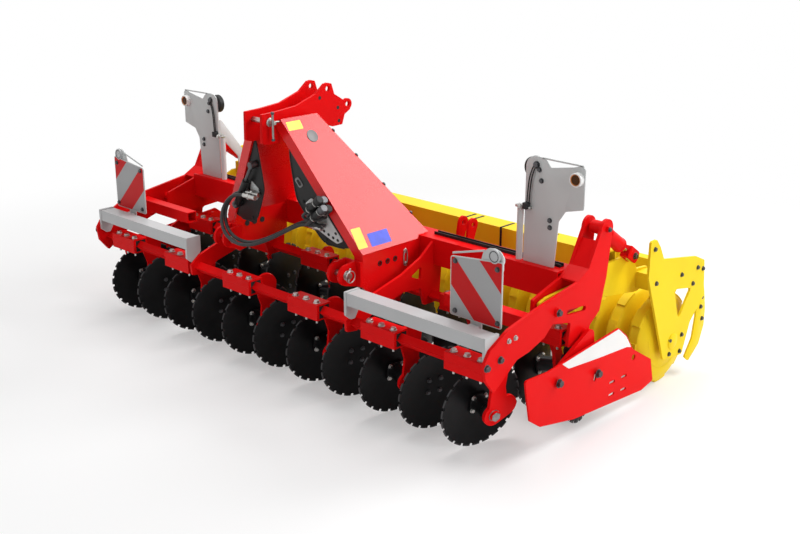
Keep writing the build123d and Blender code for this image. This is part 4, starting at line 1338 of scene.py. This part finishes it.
@dataclass
class WarningBoards:
    """Striped boards at the front, and the plates, lamps, stays and cables of the rear light boards."""

    front_y: float = -64.0
    thickness: float = 6.0
    sheet_thickness: float = 0.8
    board: Sequence[Flat] = ((1120, 604), (1398, 604), (1398, 893), (1120, 864))
    sheet: Sequence[Flat] = ((1125, 609), (1394, 609), (1394, 888), (1125, 860))
    foot: Sequence[Flat] = ((1230, 545), (1290, 545), (1290, 640), (1230, 640))
    tab: Sequence[Flat] = (
        (1272, 850), (1396, 850), (1396, 912), (1380, 932), (1352, 940), (1318, 936), (1290, 915))
    reflector: Flat = (1352.0, 908.0)
    strap: Sequence[Flat] = ((1128, 872), (1300, 918), (1300, 926), (1128, 880))
    bolts: Sequence[Flat] = ((1147, 846), (1372, 858), (1150, 628), (1380, 628))
    rear_y: float = 447.0
    rear_board: Sequence[Flat] = (
        (1105, 720), (1105, 1166), (1114, 1188), (1132, 1202), (1158, 1207), (1198, 1206), (1220, 1192),
        (1240, 1168), (1364, 1190), (1400, 1203), (1419, 1188), (1419, 1011), (1325, 987), (1291, 936),
        (1275, 720))
    rear_strap: Sequence[Flat] = ((1194, 1200), (1412, 1197), (1406, 1204), (1194, 1207))
    rear_lamp: Flat = (1385.0, 1142.0)
    tail_lamp: Flat = (1136.0, 1150.0)
    rear_pivot: Flat = (1163.0, 1170.0)
    rear_bolts: Sequence[Flat] = ((1179, 1150), (1192, 1102), (1245, 933), (1247, 901))
    cable: Sequence[Flat] = ((1150, 1160), (1132, 1120), (1126, 1060), (1122, 1000), (1120, 976))
    stay: Sequence[Flat] = (
        (454, 1060), (470, 1060), (632, 850), (632, 720), (590, 720), (580, 833), (476, 947), (454, 960))
    stay_x: float = 1106.0

    def upright(self, side: int, y: float) -> Matrix:
        """Frame of a board that faces forwards: X across, Y upwards."""
        return across(side) @ Matrix.Translation(at(0, y, 0)) @ Matrix.Rotation(math.pi / 2, 4, "X")

    def fronts(self) -> None:
        """Boards with their sheets, round reflectors, straps and bolts."""
        shape = Shape()
        for side in SIDES:
            front = self.upright(side, self.front_y)
            back = self.upright(side, self.front_y + self.thickness)
            behind = self.upright(side, self.front_y + 2 * self.thickness)
            shape.add(plate(self.board, self.thickness, 10, 1), back, GREY)
            shape.add(plate(self.sheet, self.sheet_thickness, 7), front, HAZARD)
            shape.add(plate(self.foot, self.thickness, 3, 1), behind, GREY)
            shape.add(plate(self.tab, self.thickness, 8, 1), behind, GREY)
            shape.add(plate(self.strap, 4), back, GREY)
            x, z = self.reflector
            face = forwards(side * x, self.front_y + self.thickness, z)
            rim = turned([(0, -1), (30, -1), (30, 7), (28, 9), (25, 9), (24, 7), (0, 7.6)], 36)
            shape.add(rim, face, PALE)
            # Dark ring laid on the reflector where its groove is: painted shade.
            groove_shade = turned([(20, 7), (24, 7), (24, 8), (20, 8)], 36, closed=True)
            shape.add(groove_shade, face, DARK)
            for x, z in self.bolts:
                shape.bolt(Bolt.SMALL, forwards(side * x, self.front_y - self.sheet_thickness, z), DARK)
        shape.settle("warning_sheets", "frame", ["warning_boards"])

    def rears(self) -> None:
        """Cranked light boards with their straps, rear lamps and stays."""
        shape = Shape()
        for side in SIDES:
            back = self.upright(side, self.rear_y + self.thickness)
            shape.add(plate(self.rear_board, self.thickness, 5, 1), back, GREY)
            shape.add(plate(self.rear_strap, self.thickness), back, GREY)
            shape.add(plate(self.stay, self.thickness, 8, 1), lengthwise(side, self.stay_x), GREY)
            x, z = self.tail_lamp
            lamp = facing(at(side * x, self.rear_y + self.thickness, z), Vector((0, 1, 0)))
            bowl = [(0, -0.5), (44, -0.5), (50, 6), (50, 30), (47, 33), (46, 33), (46, 30), (0, 30)]
            shape.add(turned(bowl, 40), lamp, BLACK)
            shape.add(turned([(0, 29), (45.6, 29), (45.6, 32), (30, 35), (0, 36)], 40), lamp, TAIL)
        shape.settle("rear_boards", "frame", ["rear_light_boards"])

    def fittings(self) -> None:
        """Ring lamps, bolts, hooks, clamps and cables on the rear boards."""
        shape = Shape()
        for side in SIDES:
            x, z = self.rear_lamp
            rim = turned([(25, 0), (31, 0), (31, 24), (29, 26), (26.5, 26), (25, 24)], 36, closed=True)
            glow = turned([(22, 20), (25.2, 20), (25.2, 24.6), (23.6, 25), (22, 22)], 36, closed=True)
            place = forwards(side * x, self.rear_y, z)
            shape.add(rim, place, WHITE)
            shape.add(glow, place, ORANGE)
            shape.add(turned([(0, 20), (22.2, 20), (22.2, 21.4), (12, 22.4), (0, 22.8)], 32), place, AMBER)
            x, z = self.rear_pivot
            shape.bolt(Bolt.CLAMP, forwards(side * x, self.rear_y, z), DARK)
            for x, z in self.rear_bolts:
                shape.bolt(Bolt.SMALL, forwards(side * x, self.rear_y, z), DARK)
            for shift in (0, 12):
                run = [at(side * (u + shift), self.rear_y - 8, v) for u, v in self.cable]
                shape.add(wire(run, 3.0), IN_PLACE, RUBBER)
            shape.add(block((84, 30, 12), 2), Matrix.Translation(at(side * 1104, self.rear_y, 972)), ZINC)
            shape.add(block((26, 40, 30), 3), Matrix.Translation(at(side * 1122, self.rear_y - 6, 980)), RUBBER)
            shape.bolt(Bolt.SMALL, forwards(side * 1090, self.rear_y - 14, 972), ZINC)
        shape.settle("rear_board_fittings", "frame")

    def build(self) -> None:
        """Front and rear boards."""
        self.fronts()
        self.rears()
        self.fittings()


@dataclass
class SidePlates:
    """Bolts of the side frames, end plates and side boards, and the boards' blank bands."""

    plate_x: float = 1427.0
    plate_bolts: Sequence[Tuple[float, float, Bolt, float]] = (
        (-184, 480, Bolt.CLAMP, 0), (-99, 492, Bolt.CLAMP, 0), (-48, 560, Bolt.SMALL, 0),
        (-5, 562, Bolt.SMALL, 0), (276, 598, Bolt.CLAMP, 12), (625, 893, Bolt.SMALL, 12))
    end_x: float = 1490.0
    end_bolts: Sequence[Flat] = (
        (930, 745), (962, 572), (1188, 561), (1300, 489), (1337, 562), (1388, 545), (1123, 241), (1231, 242),
        (1222, 158), (1125, 170))
    board_x: float = 1486.0
    board_bolts: Sequence[Flat] = ((218, 309), (512, 262))
    band: Sequence[Flat] = ((250, 383), (674, 425), (742, 370), (788, 305), (750, 316), (520, 330), (300, 348))

    def frames(self) -> None:
        """Heads on the outer faces of the side frames."""
        shape = Shape()
        for side in SIDES:
            for y, z, size, proud in self.plate_bolts:
                finish = ZINC if size is Bolt.SMALL and not proud else DARK
                shape.bolt(size, outwards(side, self.plate_x + proud, y, z), finish)
        shape.settle("side_frame_bolts", "frame")

    def ends(self) -> None:
        """Heads on the roller's end plates."""
        shape = Shape()
        for side in SIDES:
            for y, z in self.end_bolts:
                shape.bolt(Bolt.SMALL, outwards(side, self.end_x, y, z), DARK)
        shape.settle("end_plate_bolts", "roller_frame")

    def boards(self) -> None:
        """Blank white band and bolts on each side board."""
        for side, name in SIDE_NAMES.items():
            shape = Shape()
            shape.add(plate(self.band, 0.8, 5), lengthwise(side, self.board_x), WHITE)
            shape.settle("side_board_band_" + name, "side_board_" + name)
        shape = Shape()
        for side in SIDES:
            for y, z in self.board_bolts:
                shape.bolt(Bolt.PLATE, outwards(side, self.board_x + 12, y, z), DARK)
        shape.settle("side_board_bolts", "frame")

    def build(self) -> None:
        """All three kinds of side plate."""
        self.frames()
        self.ends()
        self.boards()


@dataclass
class DepthCylinders:
    """Glands, ports and rod forks of the two depth cylinders."""

    x: float = 1380.0
    top: Flat = (625.0, 893.0)
    eye: Flat = (905.0, 700.0)
    barrel_end: float = 215.0
    neck_end: float = 85.0
    fork_half: float = 22.5
    cheek_thickness: float = 10.0
    cheek: Sequence[Flat] = ((58, -30), (-24, -30), (-33, -12), (-33, 12), (-24, 30), (58, 30))

    def frame_of(self, side: int) -> Matrix:
        """Frame on the top pin: Z along the rod, Y upwards."""
        run = Vector((0, self.eye[0] - self.top[0], self.eye[1] - self.top[1]))
        return facing(at(side * self.x, *self.top), run)

    def build(self) -> None:
        """Both cylinders."""
        length = math.dist(self.top, self.eye)
        for side, name in SIDE_NAMES.items():
            here = self.frame_of(side)
            shape = Shape()
            gland = [(14, 0), (34.8, 0), (35.6, 1.5), (35.6, 13), (31, 16), (31, 19), (14, 19)]
            shape.add(turned(gland, 36, closed=True), here @ shifted(0, 0, self.barrel_end - 12), RED)
            weld = turned([(27, 0), (34.4, 0), (34.8, 4), (28.5, 9), (27, 9)], 36, closed=True)
            shape.add(weld, here @ shifted(0, 0, self.neck_end - 7), RED)
            spot = here @ shifted(0, 0, self.neck_end + 20) @ Matrix.Rotation(-1.2 * side, 4, "Z")
            port = spot @ Matrix.Rotation(-math.pi / 2, 4, "X")
            shape.add(turned([(0, 32), (11, 32), (11, 43), (9, 45), (0, 45)], 20), port, RED)
            shape.add(turned([(0, 44), (10, 44), (10, 50), (9, 51), (0, 51)], 6), port, ZINC)
            shape.settle("cylinder_fittings_" + name, "cylinder_barrel_" + name)
            shape = Shape()
            eye = here @ shifted(0, 0, length)
            for inner in (-self.fork_half, self.fork_half - self.cheek_thickness):
                place = eye @ shifted(inner, 0, 0) @ Matrix.Rotation(math.pi / 2, 4, "Y")
                shape.add(plate(self.cheek, self.cheek_thickness, 6, 1.5), place, RED)
            shape.add(block((46, 58, 24), 4), eye @ shifted(0, 0, -46), RED)
            head = eye @ shifted(-side * self.fork_half, 0, 0) @ Matrix.Rotation(-side * math.pi / 2, 4, "Y")
            shape.bolt(Bolt.CLAMP, head, DARK)
            shape.settle("rod_clip_" + name, "cylinder_rod_" + name)


@dataclass
class RollerDress:
    """Guards and bearing caps on the end plates, and straps on the roller beam."""

    guard: Sequence[Flat] = (
        (1404, 452), (1440, 440), (1466, 380), (1480, 305), (1480, 220), (1443, 128), (1352, 60), (1312, 92),
        (1374, 178), (1390, 282), (1398, 380))
    guard_x: float = 1462.0
    guard_thickness: float = 10.0
    guard_bolts: Sequence[Flat] = ((1432, 380), (1430, 330), (1452, 262))
    straps: Sequence[float] = (-739, -546, -493, 493, 546, 739, 1010)
    beam: Flat = (790.0, 688.0)
    beam_side: float = 100.0
    bearing: Flat = (1150.0, 230.0)
    end_x: float = 1490.0

    def build(self) -> None:
        """All pieces, on the roller frame."""
        shape = Shape()
        for side in SIDES:
            shape.add(plate(self.guard, self.guard_thickness, 10, 1.5), lengthwise(side, self.guard_x), YELLOW)
            for y, z in self.guard_bolts:
                shape.bolt(Bolt.SMALL, outwards(side, self.guard_x + self.guard_thickness, y, z), DARK)
            cap = turned([(0, -4), (40, -4), (40, 3), (34, 6), (0, 7)], 36)
            shape.add(cap, outwards(side, self.end_x, *self.bearing), YELLOW)
        shape.settle("roller_guards", "roller_frame")
        shape = Shape()
        size = self.beam_side + 5
        for x in self.straps:
            shape.add(block((14, size, size), 3), Matrix.Translation(at(x, *self.beam)), BLACK)
        shape.settle("beam_straps", "roller_frame")


class Studio:
    """Pale floor, white surround, soft lamps and the camera."""

    camera_at: Point = (4.109, -4.083, 2.304)
    azimuth: float = 43.943
    elevation: float = 18.247
    lens: float = 51.386
    floor_half: float = 40.0
    floor_drop: float = 0.0006
    floor_glow: float = 0.36
    fade: Flat = (1.8, 4.4)
    world_light: float = 0.3
    lamps: Sequence[Tuple[str, Point, Point, float, float]] = (
        ("overhead", (-0.6, 0.6, 5.4), (0, 0, 0.3), 4.5, 195.0),
        ("hood", (3.3, 3.7, 4.3), (0.3, -0.3, 0.95), 3.0, 250.0),
        ("near_right", (6.2, -0.6, 2.6), (0.6, 0, 0.5), 2.6, 82.0),
        ("front", (-2.2, -6.0, 3.0), (0, 0, 0.5), 3.0, 45.0),
    )

    def floor(self) -> None:
        """Wide white floor that keeps the shadow and fades into the surround."""
        stock = bmesh.new()
        bmesh.ops.create_grid(stock, x_segments=1, y_segments=1, size=self.floor_half)
        bmesh.ops.translate(stock, vec=(0, 0, -self.floor_drop), verts=stock.verts)
        mesh = bpy.data.meshes.new("floor")
        stock.to_mesh(mesh)
        stock.free()
        ground = bpy.data.objects.new("floor", mesh)
        bpy.context.scene.collection.objects.link(ground)
        made = bpy.data.materials.new("floor_white")
        made.use_nodes = True
        graph = Graph(made.node_tree)
        reach = graph.node("ShaderNodeVectorMath", {"operation": "LENGTH"}, {0: graph.place()}, "Value")
        fade = self.seen(graph) * (self.floor_glow + reach.rise(*self.fade) * (1 - self.floor_glow))
        matt = graph.node("ShaderNodeBsdfDiffuse", None, {"Color": (0.9, 0.9, 0.9)})
        glow = graph.node("ShaderNodeEmission", None, {"Color": (1, 1, 1), "Strength": 1.0})
        both = graph.node("ShaderNodeMixShader", None, {0: fade, 1: matt, 2: glow})
        graph.node("ShaderNodeOutputMaterial", None, {"Surface": both})
        mesh.materials.append(made)

    @staticmethod
    def seen(graph: Graph) -> Wire:
        """1 on rays from the camera, mirrors and glass, 0 on rays that light the object.

        Args:
            graph: the tree that asks.

        Returns:
            The switch.
        """
        path = graph.node("ShaderNodeLightPath").socket.node
        rays = [Wire(graph, path.outputs[name]) for name in
                ("Is Camera Ray", "Is Glossy Ray", "Is Transmission Ray")]
        return rays[0].maths("MAXIMUM", rays[0], rays[1].maths("MAXIMUM", rays[1], rays[2]))

    def surround(self) -> None:
        """White world for what is seen, softer for what it lights."""
        world = bpy.data.worlds.new("studio")
        bpy.context.scene.world = world
        world.use_nodes = True
        graph = Graph(world.node_tree)
        level = self.world_light + self.seen(graph) * (1 - self.world_light)
        glow = graph.node("ShaderNodeBackground", None, {"Color": (1, 1, 1), "Strength": level})
        graph.node("ShaderNodeOutputWorld", None, {"Surface": glow})

    def light(self) -> None:
        """Soft boxes above, in front and on the near side."""
        for name, place, target, size, power in self.lamps:
            lamp = bpy.data.lights.new(name, "AREA")
            lamp.shape = "DISK"
            lamp.size = size
            lamp.energy = power
            holder = bpy.data.objects.new(name, lamp)
            holder.location = place
            aim = Vector(target) - Vector(place)
            holder.rotation_euler = aim.to_track_quat("-Z", "Y").to_euler()
            bpy.context.scene.collection.objects.link(holder)

    def camera(self) -> None:
        """Camera at the photograph's place."""
        lens = bpy.data.cameras.new("camera")
        lens.sensor_fit = "HORIZONTAL"
        lens.sensor_width = 36.0
        lens.lens = self.lens
        holder = bpy.data.objects.new("camera", lens)
        az, el = math.radians(self.azimuth), math.radians(self.elevation)
        back = Vector((math.sin(az) * math.cos(el), -math.cos(az) * math.cos(el), math.sin(el)))
        holder.location = self.camera_at
        holder.rotation_euler = (-back).to_track_quat("-Z", "Y").to_euler()
        bpy.context.scene.collection.objects.link(holder)
        bpy.context.scene.camera = holder

    def build(self) -> None:
        """Floor, light and camera."""
        bpy.context.scene.view_settings.view_transform = "Standard"
        self.floor()
        self.surround()
        self.light()
        self.camera()


def dress_nodes() -> None:
    """Gives every CAD node its finish by the slot that it was packed with."""
    for name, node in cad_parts.items():
        for holder in node.material_slots:
            packed = holder.material.name.split(".")[0] if holder.material else ""
            finish = NODE_OWN_FINISH.get(name) or NODE_FINISH.get(packed, RED)
            holder.material = finish.material()
        LOG.info("%s dressed: %s", name, [holder.material.name for holder in node.material_slots])


def main() -> None:
    """Builds the studio, dresses the nodes and adds every sub-assembly's fittings."""
    logging.basicConfig(level=logging.INFO, format="%(name)s %(message)s")
    Studio().build()
    HosePair().build()
    dress_nodes()
    for assembly in (DiscRows(), ClampBolts(), RingRoller(), Headstock(), WarningBoards(), SidePlates(),
                     DepthCylinders(), RollerDress()):
        assembly.build()


if __name__ == "__main__":
    main()
